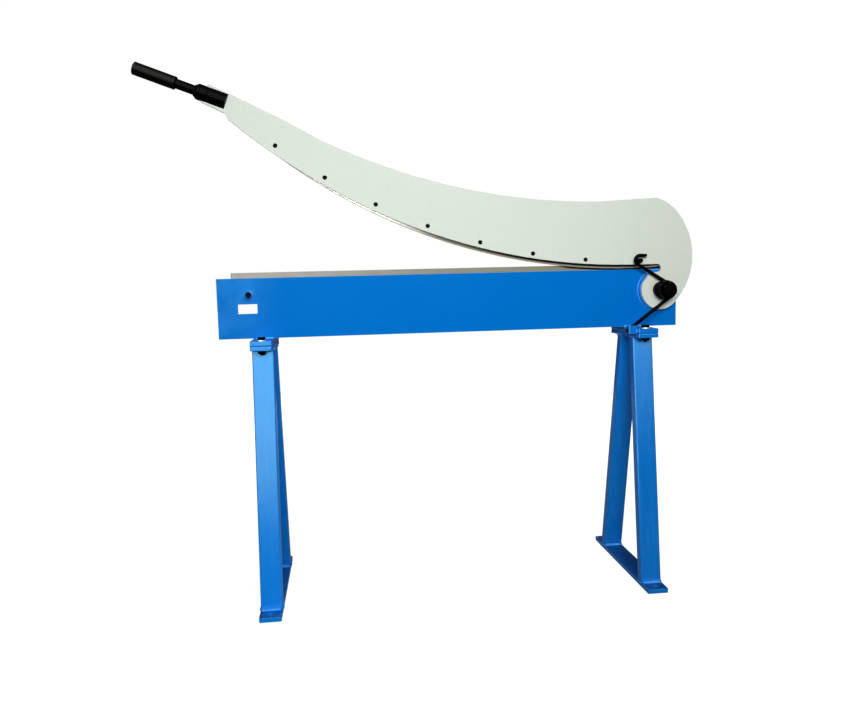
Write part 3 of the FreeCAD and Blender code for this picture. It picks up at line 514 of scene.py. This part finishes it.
# %% [markdown]
# Painted shadow marks the places where the blades meet. On the lower blade's front a narrow dark line of
# painted shadow lies under the raised cutting edge where it crosses, close to the pivot, and the steel is
# painted black as shade past the arm's throat slot. The line is read from one circle, the cutting edge.

# %% Lower blade
CUT_EDGE = (pivot.x - 0.0878, pivot.z + 1.4476, 1.3926)
LOWER_STEEL = colour(127, 126, 120)
# painted shade: the lower blade turns darker towards the pivot
LOWER_SHADED = colour(108, 108, 97)
LOWER_METAL = 0.3
# painted shadow colour for both blades
SHADOW_BLACK = colour(8, 8, 7)
LOWER_SHADE_SPAN = (-0.5, 0.1)
LOWER_SHADE_SHARE = 0.8
# painted shadow: the band under the raised cutting edge
SHADOW_BAND = 4.2 * MM
SHADOW_BAND_LIMIT = 0.2
SHADOW_EDGE = (-0.6 * MM, 0.2 * MM)
SHADOW_STARTS = (0.26, 0.29)
SLOT_END = (0.494, 0.497)


def past_circle(x, z, circle):
    """How far a point lies outside a circle across Y, given as its centre's x and z and its radius."""
    middle_x, middle_z, radius = circle
    return distance(x, z, middle_x, middle_z) - radius


def lower_blade_steel(name):
    steel = Finish(name)
    x, y, z = steel.split(steel.place())
    lines = steel.noise(0.9 * MM, detail=3.0, stretch=(GRIND_ALONG, 1.0, 1.0))
    broad = steel.noise(6 * MM, stretch=(BROAD_ALONG, 1.0, 1.0))
    plain, stain = stained(steel, LOWER_STEEL, lines, broad)
    # painted shade along x
    shaded_steel = steel.mix(steel.rise(x, *LOWER_SHADE_SPAN) * LOWER_SHADE_SHARE, plain, LOWER_SHADED)
    # painted shadow under the cutting edge and painted shade past the throat slot
    past = past_circle(x, z, CUT_EDGE)
    band = steel.rise(past, *SHADOW_EDGE)
    band = band * steel.fall(past, SHADOW_BAND * (1 - SHADOW_BAND_LIMIT), SHADOW_BAND * (1 + SHADOW_BAND_LIMIT))
    dark = steel.rise(band * steel.rise(x, *SHADOW_STARTS) + steel.rise(x, *SLOT_END), 0.0, 1.0)
    tint = steel.mix(front_face(steel, y, "lower_blade") * dark, shaded_steel, SHADOW_BLACK)
    return ground(steel, tint, LOWER_METAL, lines, stain)


LOWER_BLADE = lower_blade_steel("lower_blade_steel")
print("cutting edge's radius", CUT_EDGE[2], "m")

# %% [markdown]
# The upper blade shows below the arm's edge as a narrow bright line with a black band above it, a painted
# shadow of the arm's edge. The band is read from a second circle, the arm's own edge. The very edge of the
# blade has a straw tint, as steel has where a grinding wheel made it hot, and its lightness is a painted
# highlight.

# %% Upper blade
ARM_EDGE = (pivot.x - 0.0775, pivot.z + 1.5290, 1.4658)
UPPER_STEEL = colour(226, 226, 218)
# painted shade: the upper blade turns darker towards the pivot
UPPER_SHADED = colour(98, 98, 86)
UPPER_METAL = 0.6
UPPER_SHADE_SPAN = (-0.24, -0.02)
# a warm tint at the cutting edge whose lightness is a painted highlight
TEMPER_HIGHLIGHT = colour(176, 140, 96)
TEMPER_HIGHLIGHT_EDGE = (-1.2 * MM, -0.4 * MM)
TEMPER_HIGHLIGHT_SHARE = 0.6
# painted shadow of the arm's edge on the upper blade
ARM_SHADOW_BAND = 5.8 * MM
ARM_SHADOW_FADE = 0.8
ARM_SHADOW_STARTS = (-0.2, 0.18)


def upper_blade_steel(name):
    steel = Finish(name)
    x, y, z = steel.split(steel.place())
    past_cut = past_circle(x, z, CUT_EDGE)
    spot = steel.add("ShaderNodeCombineXYZ", {}, {0: past_cut, 1: y, 2: x * GRIND_ALONG})
    lines = steel.noise(0.9091 * MM, detail=3.0, at=spot)
    broad = steel.noise(6.25 * MM, at=spot)
    plain, stain = stained(steel, UPPER_STEEL, lines, broad)
    # painted shade along x
    shaded_steel = steel.mix(steel.rise(x, *UPPER_SHADE_SPAN), plain, UPPER_SHADED)
    # painted shadow band below the arm's edge
    band = steel.fall(past_circle(x, z, ARM_EDGE), ARM_SHADOW_BAND * ARM_SHADOW_FADE, ARM_SHADOW_BAND)
    oil_and_shadow = front_face(steel, y, "upper_blade") * band * steel.rise(x, *ARM_SHADOW_STARTS)
    # warm tint and painted highlight on the last millimetre of the cutting edge
    heat_tint_and_highlight = steel.rise(past_cut, *TEMPER_HIGHLIGHT_EDGE) * TEMPER_HIGHLIGHT_SHARE
    tint = steel.mix(heat_tint_and_highlight, steel.mix(oil_and_shadow, shaded_steel, SHADOW_BLACK), TEMPER_HIGHLIGHT)
    return ground(steel, tint, UPPER_METAL, lines, stain)


UPPER_BLADE = upper_blade_steel("upper_blade_steel")
print("arm edge's radius", ARM_EDGE[2], "m")

# %% [markdown]
# ## Black steel
# Screws, nuts, the spring and the handle's socket are blackened and oiled. The oil makes slightly smoother
# patches, and the corners that spanners and hands touch rub to a dull grey. A perfectly black surface would
# lose its shape in a picture, so a trace of reflection is left on it.

# %% Black steel
BLACK = colour(2, 2, 3)
RUBBED = colour(44, 44, 42)
OIL_IOR = 1.3
OIL_GLOSS = 0.04
OIL_TONE, OIL_ROUGH = 0.5, 0.2
HANDLED = (-0.1, 0.15)
RUBBED_METAL, RUBBED_SHINE = 0.4, 0.1
BLACK_GRAIN, BLACK_GRAIN_DEPTH = 1.2 * MM, 0.06 * MM


def black_steel(name, rough, rub):
    black = Finish(name)
    oil_and_shadow = black.noise(10 * MM, detail=3.0)
    body = black.shade(BLACK, 1 + oil_and_shadow * OIL_TONE)
    handled = black.rise(black.noise(5 * MM, detail=3.0), *HANDLED)
    rubbed = black.edges(0.9 * MM, low=0.02, high=0.2) * handled * rub
    black.set(Base_Color=black.mix(rubbed, body, RUBBED), Metallic=rubbed * RUBBED_METAL,
              Roughness=rough + oil_and_shadow * OIL_ROUGH - rubbed * RUBBED_SHINE,
              Specular_IOR_Level=OIL_GLOSS, IOR=OIL_IOR,
              Normal=black.bump(black.noise(BLACK_GRAIN), BLACK_GRAIN_DEPTH, black.rounded(0.5 * MM)))
    return black.owner


FASTENER = black_steel("black_screws", rough=0.28, rub=0.3)
SPRING_BLACK = black_steel("spring_black", rough=0.3, rub=0.1)
HANDLE_BLACK = black_steel("handle_black", rough=0.26, rub=0.1)
print("black as light", [round(c, 5) for c in BLACK])

# %% [markdown]
# ## Zinc, bronze, plastic and the bare label
# Zinc plating is bright with a cloudy bloom. The bush is turned bronze, so its lines run round it. The grip
# is moulded black plastic with a fine satin grain, and the label is a white plate with nothing on it, only
# faint scuffs. Each is one tone, one noise and a little relief.

# %% Zinc and bronze
ZINC = colour(226, 226, 222)
ZINC_METAL = 0.5
BRONZE = colour(178, 138, 84)
BRONZE_METAL = 0.9
RING_SHAPE = (1.0, 0.05, 1.0)


def zinc(name):
    plate = Finish(name)
    bloom = plate.noise(4 * MM, detail=4.0)
    plate.set(Base_Color=plate.shade(ZINC, 1 + bloom * 0.25), Metallic=ZINC_METAL,
              Roughness=0.3 + bloom * 0.2, Normal=plate.bump(bloom, 0.04 * MM, plate.rounded(0.4 * MM)))
    return plate.owner


def bronze(name):
    turned = Finish(name)
    rings = turned.noise(0.8 * MM, detail=3.0, stretch=RING_SHAPE)
    turned.set(Base_Color=turned.shade(BRONZE, 1 + rings * 0.3), Metallic=BRONZE_METAL,
               Roughness=0.32 + rings * 0.15, Normal=turned.bump(rings, 0.03 * MM))
    return turned.owner


WASHER = zinc("zinc")
BUSH = bronze("turned_bronze")
print("made", WASHER.name, "and", BUSH.name)

# %% Grip plastic and label
GRIP_BLACK = colour(3, 3, 2)
LABEL_WHITE = colour(250, 250, 250)
LABEL_WORN = colour(206, 208, 208)
GRIP_GLOSS = 0.05
SCUFF_SHAPE = (0.3, 1.0, 1.0)
SCUFF_LIMITS = (0.1, 0.3)
SCUFF_DEPTH = -0.03 * MM


def grip_plastic(name):
    grip = Finish(name)
    haze = grip.noise(20 * MM, detail=3.0)
    grip.set(Base_Color=grip.shade(GRIP_BLACK, 1 + haze * 0.4), Roughness=0.3 + haze * 0.16,
             Specular_IOR_Level=GRIP_GLOSS,
             Normal=grip.bump(grip.noise(0.9 * MM), 0.08 * MM, grip.rounded(0.8 * MM)))
    return grip.owner


def label_white(name):
    label = Finish(name)
    scuff = label.rise(label.noise(6 * MM, 5.0, SCUFF_SHAPE, rough=0.7), *SCUFF_LIMITS)
    worn = scuff * 0.25 + label.edges(0.6 * MM) * 0.3
    label.set(Base_Color=label.mix(worn, LABEL_WHITE, LABEL_WORN), Roughness=0.4 + scuff * 0.2,
              Normal=label.bump(scuff, SCUFF_DEPTH))
    return label.owner


GRIP = grip_plastic("grip_plastic")
LABEL = label_white("bare_label")
print("made", GRIP.name, "and", LABEL.name)

# %% [markdown]
# ## Giving the solids their finishes
# The solids keep their meshes; only their materials change. A few pieces have a finish of their own, and all
# the others get theirs by the last word of their name, so a piece that is added later is dressed as well.

# %% Finishes on the solids
BY_NAME = {
    "front_beam": BEAM_ENAMEL,
    "arm_plate": ARM_ENAMEL,
    "lower_blade": LOWER_BLADE,
    "upper_blade": UPPER_BLADE,
    "label_plate": LABEL,
    "pivot_bush": BUSH,
    "handle_grip": GRIP,
    "handle_socket": HANDLE_BLACK,
    "handle_rod": HANDLE_BLACK,
    "stop_sleeve": WASHER,
    "hook_pin": FASTENER,
    "pivot_stud": FASTENER,
    "spring_sleeve": FASTENER,
    "pivot_washer": FASTENER,
    "pivot_nut": FASTENER,
}


def finish_of(name):
    if name in BY_NAME:
        return BY_NAME[name]
    if name.endswith("_washer"):
        return WASHER
    if name.endswith("_leg"):
        return LEG_ENAMEL
    if "screw" in name or name.endswith(("_bolt", "_nut")):
        return FASTENER
    return ENAMEL


for name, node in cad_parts.items():
    node.data.materials.clear()
    node.data.materials.append(finish_of(name))
print("dressed", len(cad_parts), "solids")

# %% [markdown]
# ## Sweeping a round section
# The spring's wire and the weld beads are the same job: a ring of edges that is pushed, turned and pushed
# again, with a skin of faces left behind it. A curve with a round bevel would do for the wire, but not for a
# bead, whose thickness changes at every step. A small class remembers where the ring is and which way it
# faces. Each step is one extrusion followed by a move, a turn or a change of size.

# %% A ring that leaves a tube behind it
class Sweep:
    """A round section on its way, and the mesh that it leaves behind."""

    def __init__(self, place, direction, radius, sides):
        self.mesh = bmesh.new()
        self.place = Vector(place)
        self.direction = Vector(direction).normalized()
        self.radius = radius
        turn = self.direction.to_track_quat("Z", "Y").to_matrix().to_4x4()
        ring = bmesh.ops.create_circle(self.mesh, cap_ends=False, segments=sides, radius=radius,
                                       matrix=Matrix.Translation(self.place) @ turn)
        self.verts = ring["verts"]
        self.edges = list({e for v in self.verts for e in v.link_edges})
        self.close()

    def close(self):
        """Caps the tube where the ring stands."""
        bmesh.ops.contextual_create(self.mesh, geom=self.edges)

    def step(self, matrix):
        """Leaves one row of faces behind and takes the ring along with the matrix."""
        grown = bmesh.ops.extrude_edge_only(self.mesh, edges=self.edges)["geom"]
        self.verts = [g for g in grown if isinstance(g, bmesh.types.BMVert)]
        self.edges = [g for g in grown if isinstance(g, bmesh.types.BMEdge)]
        bmesh.ops.transform(self.mesh, matrix=matrix, verts=self.verts)
        self.place = matrix @ self.place
        self.direction = (matrix.to_3x3() @ self.direction).normalized()

    def push(self, length):
        self.step(Matrix.Translation(self.direction * length))

    def swell(self, factor):
        """Makes the ring larger or smaller where it stands."""
        grow = about(self.place, Matrix.Scale(factor, 4))
        bmesh.ops.transform(self.mesh, matrix=grow, verts=self.verts)

    def into(self, collected):
        """Adds the tube to a larger mesh; short tubes are quicker to make on their own."""
        data = bpy.data.meshes.new("tube")
        self.mesh.to_mesh(data)
        self.mesh.free()
        collected.from_mesh(data)
        bpy.data.meshes.remove(data)


def about(centre, matrix):
    """The same turn or scale, about this centre."""
    away = Matrix.Translation(centre)
    return away @ matrix @ away.inverted()


# %% [markdown]
# A finished mesh becomes an object in one place. Its faces are turned outwards, and an edge stays sharp where
# the faces meet at more than the given angle, so a tube looks round and its capped end stays crisp.

# %% From a mesh to a piece
SMOOTH_LIMIT = math.radians(50)


def piece(name, mesh, material):
    """An object at the origin from a finished bmesh."""
    bmesh.ops.recalc_face_normals(mesh, faces=mesh.faces)
    for face in mesh.faces:
        face.smooth = True
    for edge in mesh.edges:
        edge.smooth = edge.calc_face_angle(0) < SMOOTH_LIMIT
    data = bpy.data.meshes.new(name)
    mesh.to_mesh(data)
    mesh.free()
    data.materials.append(material)
    made = bpy.data.objects.new(name, data)
    bpy.context.scene.collection.objects.link(made)
    print(name, len(data.polygons), "faces")
    return made


# %% [markdown]
# ## The return spring
# An 8.5 mm wire hooks over a pin on the arm, runs to the pivot, winds two and a half turns round its sleeve
# and ends in a block under the beam. The solid has this form too, but a stiff spring would let go of its pin
# when the arm moves. Here the wire is made again as one sweep and takes the solid's place.

# %% The wire's sizes
WIRE = 8.5 * MM
COIL_RADIUS = 19.5 * MM
COIL_PITCH = 9.1 * MM
COIL_BACK = -71.25 * MM
COIL_STRAIGHT = 20 * MM
WHOLE_TURNS = 2
BEND = 5 * MM
HOOK_ROOM = 1.5 * MM
HOOK_SEAT = 0.3 * MM
HOOK_TIP = 16.5 * MM
HOOK_TIP_ANGLE = math.radians(88)
BLOCK_BORE_DOWN = 4.5 * MM
TIP_PAST_BLOCK = 3 * MM
END_CHAMFER = 0.8 * MM
WIRE_SIDES = 24
TURN_STEP = math.radians(6)
COIL_STEP = math.radians(5)
Y_AXIS = Vector((0, 1, 0))
print("turns lie", round((COIL_PITCH - WIRE) / MM, 1), "mm apart")

# %% [markdown]
# The wire touches three things: the pin, the pivot's sleeve and the block. The straight leg to the pin is the
# inner tangent of two circles, the hook and the coil, and the leg to the block is a tangent from a point to
# the coil. Their two angles give the coil's start and end.

# %% The wire's way
pin_low, pin_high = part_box("hook_pin")
pin = (pin_low + pin_high) / 2
pin.z += HOOK_ROOM - HOOK_SEAT
hook_radius = (pin_high.x - pin_low.x) / 2 + HOOK_ROOM + WIRE / 2
block_low, block_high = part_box("spring_anchor_block")
block = (block_low + block_high) / 2
block.z = block_high.z - BLOCK_BORE_DOWN

to_pin = Vector((pin.x - pivot.x, pin.z - pivot.z))
to_block = Vector((block.x - pivot.x, block.z - pivot.z))
tangent = math.asin((COIL_RADIUS + hook_radius) / to_pin.length)
coil_from = math.atan2(to_pin.y, to_pin.x) + tangent - math.pi / 2
coil_to = math.atan2(to_block.y, to_block.x) + math.acos(COIL_RADIUS / to_block.length)
coil_turn = coil_from - coil_to + WHOLE_TURNS * 2 * math.pi
lead = COIL_PITCH / (2 * math.pi)
coil_start = Vector((pivot.x + COIL_RADIUS * math.cos(coil_from), COIL_BACK,
                     pivot.z + COIL_RADIUS * math.sin(coil_from)))
into_coil = Vector((COIL_RADIUS * math.sin(coil_from), -lead,
                    -COIL_RADIUS * math.cos(coil_from))).normalized()
print("turns", round(coil_turn / (2 * math.pi), 2))


# %% Bending the wire
class Wire(Sweep):
    """A sweep of one thickness that turns about a centre or bends to a new direction."""

    def turn(self, centre, axis, angle, climb=Vector((0, 0, 0)), each=TURN_STEP):
        steps = max(1, math.ceil(abs(angle) / each))
        part = about(centre, Matrix.Rotation(angle / steps, 4, axis))
        for _ in range(steps):
            self.step(Matrix.Translation(climb / steps) @ part)

    def bend(self, direction, room):
        """Turns to a new direction on an arc that starts this far before the corner."""
        angle = self.direction.angle(direction)
        axis = self.direction.cross(direction).normalized()
        radius = room / math.tan(angle / 2)
        self.turn(self.place + axis.cross(self.direction) * radius, axis, angle)

    def begin(self):
        """From the chamfered first cap to the wire's full thickness."""
        self.swell(1 - END_CHAMFER / self.radius)
        self.push(END_CHAMFER)
        self.swell(1 / (1 - END_CHAMFER / self.radius))

    def end(self):
        """Ends the wire with a small chamfer and a cap."""
        self.push(END_CHAMFER)
        self.swell(1 - END_CHAMFER / self.radius)
        self.close()


# %% The hook and the leg to the coil
hook_y = coil_start.y - into_coil.y * BEND
pin_centre = Vector((pin.x, hook_y, pin.z))
tip_run = Vector((math.sin(HOOK_TIP_ANGLE), 0, -math.cos(HOOK_TIP_ANGLE)))
hook_top = pin_centre + Vector((math.cos(HOOK_TIP_ANGLE), 0, math.sin(HOOK_TIP_ANGLE))) * hook_radius
leg_run = Vector((into_coil.x, 0, into_coil.z)).normalized()

wire = Wire(hook_top + tip_run * HOOK_TIP, -tip_run, WIRE / 2, WIRE_SIDES)
wire.begin()
wire.push(HOOK_TIP - END_CHAMFER)
wire.turn(pin_centre, -Y_AXIS, coil_from + math.pi - HOOK_TIP_ANGLE)
corner = coil_start - into_coil * BEND - leg_run * BEND
wire.push((corner - wire.place).length)
wire.bend(into_coil, BEND)
print("coil starts at", [round(v, 4) for v in wire.place])

# %% The coil and the leg to the block
wire.turn(Vector((pivot.x, wire.place.y, pivot.z)), Y_AXIS, coil_turn, -Y_AXIS * lead * coil_turn, COIL_STEP)
wire.push(COIL_STRAIGHT - BEND)
knee = wire.place + wire.direction * BEND
to_anchor = (block - knee).normalized()
wire.bend(to_anchor, BEND)
half_block = (block_high.x - block_low.x) / 2
tip = block + to_anchor * (half_block + TIP_PAST_BLOCK) / abs(to_anchor.x)
wire.push((tip - wire.place).length - END_CHAMFER)
wire.end()
spring = piece("return_spring_wire", wire.mesh, SPRING_BLACK)
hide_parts("return_spring")
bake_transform(spring)

# %% [markdown]
# ## Weld beads
# A weld bead is a row of overlapping scales that half fills the corner between two pieces. The solids have no
# beads, and a bevel in the corner would be too even. So a ring is pushed along each corner in short steps and
# swells and shrinks with each scale. A little chance in the steps keeps two beads from being alike, and a
# fixed seed keeps them the same each time.

# %% The sizes along a bead
SCALE_LENGTH = 2.4 * MM
STEPS_PER_SCALE = 4
LEAST_STEPS = 6
RIPPLE = 0.09
CHANCE = 0.04
END_SIZE = 1.5
BEAD_SIDES = 8
random.seed(7)


def ripple(k):
    """The size of a bead at one step: it swells once with every scale."""
    return 1 + RIPPLE * math.sin(k * 2 * math.pi / STEPS_PER_SCALE) + random.uniform(-CHANCE, CHANCE)


def bead_sizes(length):
    """Radii along a bead, as shares of its size: it starts small, ripples and ends small."""
    count = max(LEAST_STEPS, round(length / (SCALE_LENGTH / STEPS_PER_SCALE)))
    ends = [min(1.0, (min(k, count - k) + END_SIZE) / STEPS_PER_SCALE) for k in range(count + 1)]
    return [end * ripple(k) for k, end in enumerate(ends)]


print("a 50 mm bead has", round(50 * MM / SCALE_LENGTH), "scales")


# %% A bead along a line or round a boss
def straight_bead(mesh, start, end, radius):
    start, end = Vector(start), Vector(end)
    sizes = bead_sizes((end - start).length)
    bead = Sweep(start, end - start, radius * sizes[0], BEAD_SIDES)
    for last, size in zip(sizes, sizes[1:]):
        bead.push((end - start).length / (len(sizes) - 1))
        bead.swell(size / last)
    bead.close()
    bead.into(mesh)


def ring_bead(mesh, y, ring_radius, radius):
    """A bead round a boss on the pivot's axis."""
    count = round(2 * math.pi * ring_radius / (SCALE_LENGTH / STEPS_PER_SCALE))
    centre = Vector((pivot.x, y, pivot.z))
    bead = Sweep(centre + Vector((ring_radius, 0, 0)), (0, 0, 1), radius, BEAD_SIDES)
    part = about(centre, Matrix.Rotation(-2 * math.pi / count, 4, "Y"))
    last = 1.0
    for k in range(1, count + 1):
        bead.step(part)
        size = ripple(k)
        bead.swell(size / last)
        last = size
    bead.close()
    bead.into(mesh)


# %% [markdown]
# A leg is welded all round at its foot and its top. The tube leans in depth only, so its lower and upper ends
# are rectangles. Their width is that of the leg's box, and their depth is measured on the solid's own points
# at that height.

# %% Beads on the legs
LEG_BEAD = 5.5 * MM
SIDE_SHARE = 0.5
CORNER = 2 * MM
SAME_HEIGHT = 0.5 * MM


def leg_beads(mesh, name):
    low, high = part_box(name)
    points = [v.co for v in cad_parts[name].data.vertices]
    for z in (low.z, high.z):
        depths = [p.y for p in points if abs(p.z - z) < SAME_HEIGHT]
        near, far = min(depths), max(depths)
        for y in (near, far):
            straight_bead(mesh, (low.x + CORNER, y, z), (high.x - CORNER, y, z), LEG_BEAD)
        for x in (low.x, high.x):
            straight_bead(mesh, (x, near + CORNER, z), (x, far - CORNER, z), LEG_BEAD * SIDE_SHARE)


legs_mesh = bmesh.new()
for side in ("left", "right"):
    for end in ("front", "rear"):
        leg_beads(legs_mesh, f"{side}_{end}_leg")
leg_welds = piece("leg_welds", legs_mesh, WELD_ENAMEL)
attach(leg_welds, "stand")

# %% [markdown]
# The lug plates hang under the beam, so they are welded along both of its lower edges. The right one shows
# three coarse lumps beside the spring's block, where the seam was stopped and started again. The block is
# welded to the lug under it, the boss and its backing to the web, and the table's brackets to the beam and
# the table.

# %% Beads at the lug plates and the block
LUG_BEAD = 3.2 * MM
THIN_BEAD = 2.4 * MM
LUG_CORNER = 3 * MM
LUG_SIDE_CORNER = 4 * MM
LUMPS = ((-2 * MM, 5.5 * MM), (3 * MM, 4.5 * MM), (32 * MM, 6 * MM))  # place past the block, thickness
LUMP_LENGTH = 12 * MM
BLOCK_CORNER = 2 * MM
BLOCK_FOOT = 1.5 * MM
BLOCK_HEAD = 8 * MM


def lug_beads(mesh, side):
    low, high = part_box(f"{side}_lug_plate")
    for y in (beam_low.y, beam_high.y):
        straight_bead(mesh, (low.x + LUG_CORNER, y, high.z), (high.x - LUG_CORNER, y, high.z), LUG_BEAD)
    for x in (low.x, high.x):
        straight_bead(mesh, (x, beam_low.y + LUG_SIDE_CORNER, high.z),
                      (x, beam_high.y - LUG_SIDE_CORNER, high.z), THIN_BEAD)


def block_beads(mesh):
    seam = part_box("right_lug_plate")[1].z
    edge = block_high.x
    for place, thickness in LUMPS:
        straight_bead(mesh, (edge + place, beam_low.y, seam),
                      (edge + place + LUMP_LENGTH, beam_low.y, seam), thickness)
    straight_bead(mesh, (edge, block_low.y + BLOCK_CORNER, seam),
                  (edge, block_high.y - BLOCK_CORNER, seam), THIN_BEAD)
    for y in (block_low.y, block_high.y):
        straight_bead(mesh, (edge, y, block_low.z + BLOCK_FOOT), (edge, y, block_high.z - BLOCK_HEAD),
                      THIN_BEAD)


beam_mesh = bmesh.new()
for side in ("left", "right"):
    lug_beads(beam_mesh, side)
block_beads(beam_mesh)
print("faces so far", len(beam_mesh.faces))

# %% Beads at the pivot and the table
BOSS_BEAD = 2.2 * MM
BACKING_BEAD = 3 * MM
BRACKETS = (1, 2, 3)
FLANGE_BEAD_LENGTH = 9 * MM
LOWER_FLANGE_START = 1 * MM
TABLE_BEAD_START = 30 * MM
TABLE_BEAD_END = 6 * MM


def bracket_beads(mesh, name):
    """Short beads at the beam's upper and lower edge and a long one under the table, on both sides."""
    low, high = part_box(name)
    lower = beam_low.z + LOWER_FLANGE_START
    upper = beam_high.z - FLANGE_BEAD_LENGTH
    for x in (low.x, high.x):
        for z in (upper, lower):
            straight_bead(mesh, (x, low.y, z), (x, low.y, z + FLANGE_BEAD_LENGTH), THIN_BEAD)
        straight_bead(mesh, (x, low.y + TABLE_BEAD_START, high.z), (x, high.y - TABLE_BEAD_END, high.z),
                      BOSS_BEAD)


boss_low, boss_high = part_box("pivot_boss")
backing_low, backing_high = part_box("pivot_backing")
ring_bead(beam_mesh, boss_high.y, (boss_high.x - boss_low.x) / 2, BOSS_BEAD)
ring_bead(beam_mesh, backing_low.y, (backing_high.x - backing_low.x) / 2, BACKING_BEAD)
for number in BRACKETS:
    bracket_beads(beam_mesh, f"table_bracket_{number}")
beam_welds = piece("beam_welds", beam_mesh, WELD_ENAMEL)
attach(beam_welds, "stand")

# %% [markdown]
# ## What lights the shear and what it mirrors
# The world adds a little light from everywhere. Its background is white only to the camera, so it doesn't
# bleach the paint. What shiny paint mirrors is written apart: dark below a slanting sill and behind, a pale
# room above the sill, and one bright window up in front, a little to the left. The window gives the front
# faces their soft shine. An image of a real room would mirror more detail than the photograph shows.

# %% World
WHITE = (1.0, 1.0, 1.0)
WORLD_LIGHT = 0.1
MIRROR_DARK = 0.03
MIRROR_ROOM = 1.0
MIRROR_WINDOW = 6.5
WINDOW = Vector((-0.25, -0.88, 0.4)).normalized()
WINDOW_GLOW = (0.6, 0.95)
SILL = (-0.15, 0.03)
SILL_SLANT = 0.3
BACK_WALL = (-0.1, 0.3)

world = NodeTree(bpy.data.worlds.new("studio"), "ShaderNodeBackground", "ShaderNodeOutputWorld")
bpy.context.scene.world = world.owner
seen = world.add("ShaderNodeLightPath", output="Is Camera Ray")
mirrored = world.add("ShaderNodeLightPath", output="Is Glossy Ray")
through = world.add("ShaderNodeLightPath", output="Is Transmission Ray")
direction = world.add("ShaderNodeTexCoord", output="Generated")
sideways, behind, height = world.split(direction)
facing = world.add("ShaderNodeVectorMath", {"operation": "DOT_PRODUCT"}, {0: direction, 1: WINDOW}, "Value")
room = world.rise(height - sideways * SILL_SLANT, *SILL) * world.fall(behind, *BACK_WALL)
mirror_light = MIRROR_DARK + room * (MIRROR_ROOM + world.rise(facing, *WINDOW_GLOW) * MIRROR_WINDOW)
world.set(Color=WHITE, Strength=WORLD_LIGHT + (1 - WORLD_LIGHT) * (seen + through)
          + mirrored * (mirror_light - WORLD_LIGHT))
print("window towards", [round(v, 2) for v in WINDOW])

# %% [markdown]
# The photograph was lit from the front, close to the camera and above it: faces towards the camera are
# bright, sides and upper faces are dark. One soft lamp does that, and a larger one far behind keeps the back
# readable. Both stay out of the reflections, where their hard rectangles would show.

# %% Lamps
def lamp(name, place, target, size, power):
    data = bpy.data.lights.new(name, "AREA")
    data.shape = "RECTANGLE"
    data.size, data.size_y = size
    data.energy = power
    made = bpy.data.objects.new(name, data)
    bpy.context.scene.collection.objects.link(made)
    away = Vector(place) - Vector(target)
    made.matrix_world = Matrix.Translation(Vector(place)) @ away.to_track_quat("Z", "Y").to_matrix().to_4x4()
    made.visible_glossy = False
    print(name, round(away.length, 2), "m away")


lamp("front_lamp", place=(-0.12, -1.95, 1.2), target=(0, 0, 0.8), size=(0.8, 0.6), power=40)
lamp("back_lamp", place=(0.5, 3.0, 1.3), target=(0, 0, 0.7), size=(1.6, 1.0), power=95)

# %% [markdown]
# The floor is grey to the lamps but glows to the camera, and fades to the background's white further out, so
# the shear stands on pale ground and no horizon shows. It ends a little behind the camera: the beam and the
# legs would mirror more of it there, and lose the contrast of their sides.

# %% Floor
FLOOR_REACH = 12.0
FLOOR_FRONT = -3.0
FLOOR_TONE = (0.2, 0.2, 0.2)
FLOOR_CLOUDS = 0.06
FLOOR_FADE = (0.9, 2.4)
FLOOR_GLOW = 0.9
FLOOR_MIRRORED = 0.02

floor_mesh = bmesh.new()
bmesh.ops.create_grid(floor_mesh, x_segments=1, y_segments=1, size=FLOOR_REACH,
                      matrix=Matrix.Translation((0, FLOOR_REACH + FLOOR_FRONT, 0)))
pale = Finish("pale_floor")
on_camera = pale.add("ShaderNodeLightPath", output="Is Camera Ray")
on_mirror = pale.add("ShaderNodeLightPath", output="Is Glossy Ray")
floor_x, floor_y, _ = pale.split(pale.place())
far = pale.rise(distance(floor_x, floor_y, 0, 0), *FLOOR_FADE)
pale.set(Base_Color=pale.shade(FLOOR_TONE, 1 + pale.noise(400 * MM) * FLOOR_CLOUDS), Roughness=0.8,
         Specular_IOR_Level=0.05, Emission_Color=WHITE,
         Emission_Strength=on_camera * (FLOOR_GLOW + far * (1 - FLOOR_GLOW)) + on_mirror * FLOOR_MIRRORED)
floor = piece("floor", floor_mesh, pale.owner)

# %% [markdown]
# ## Settings
# The view transform is Standard, so a colour shows as it was written.

# %% Settings
bpy.context.scene.view_settings.view_transform = "Standard"
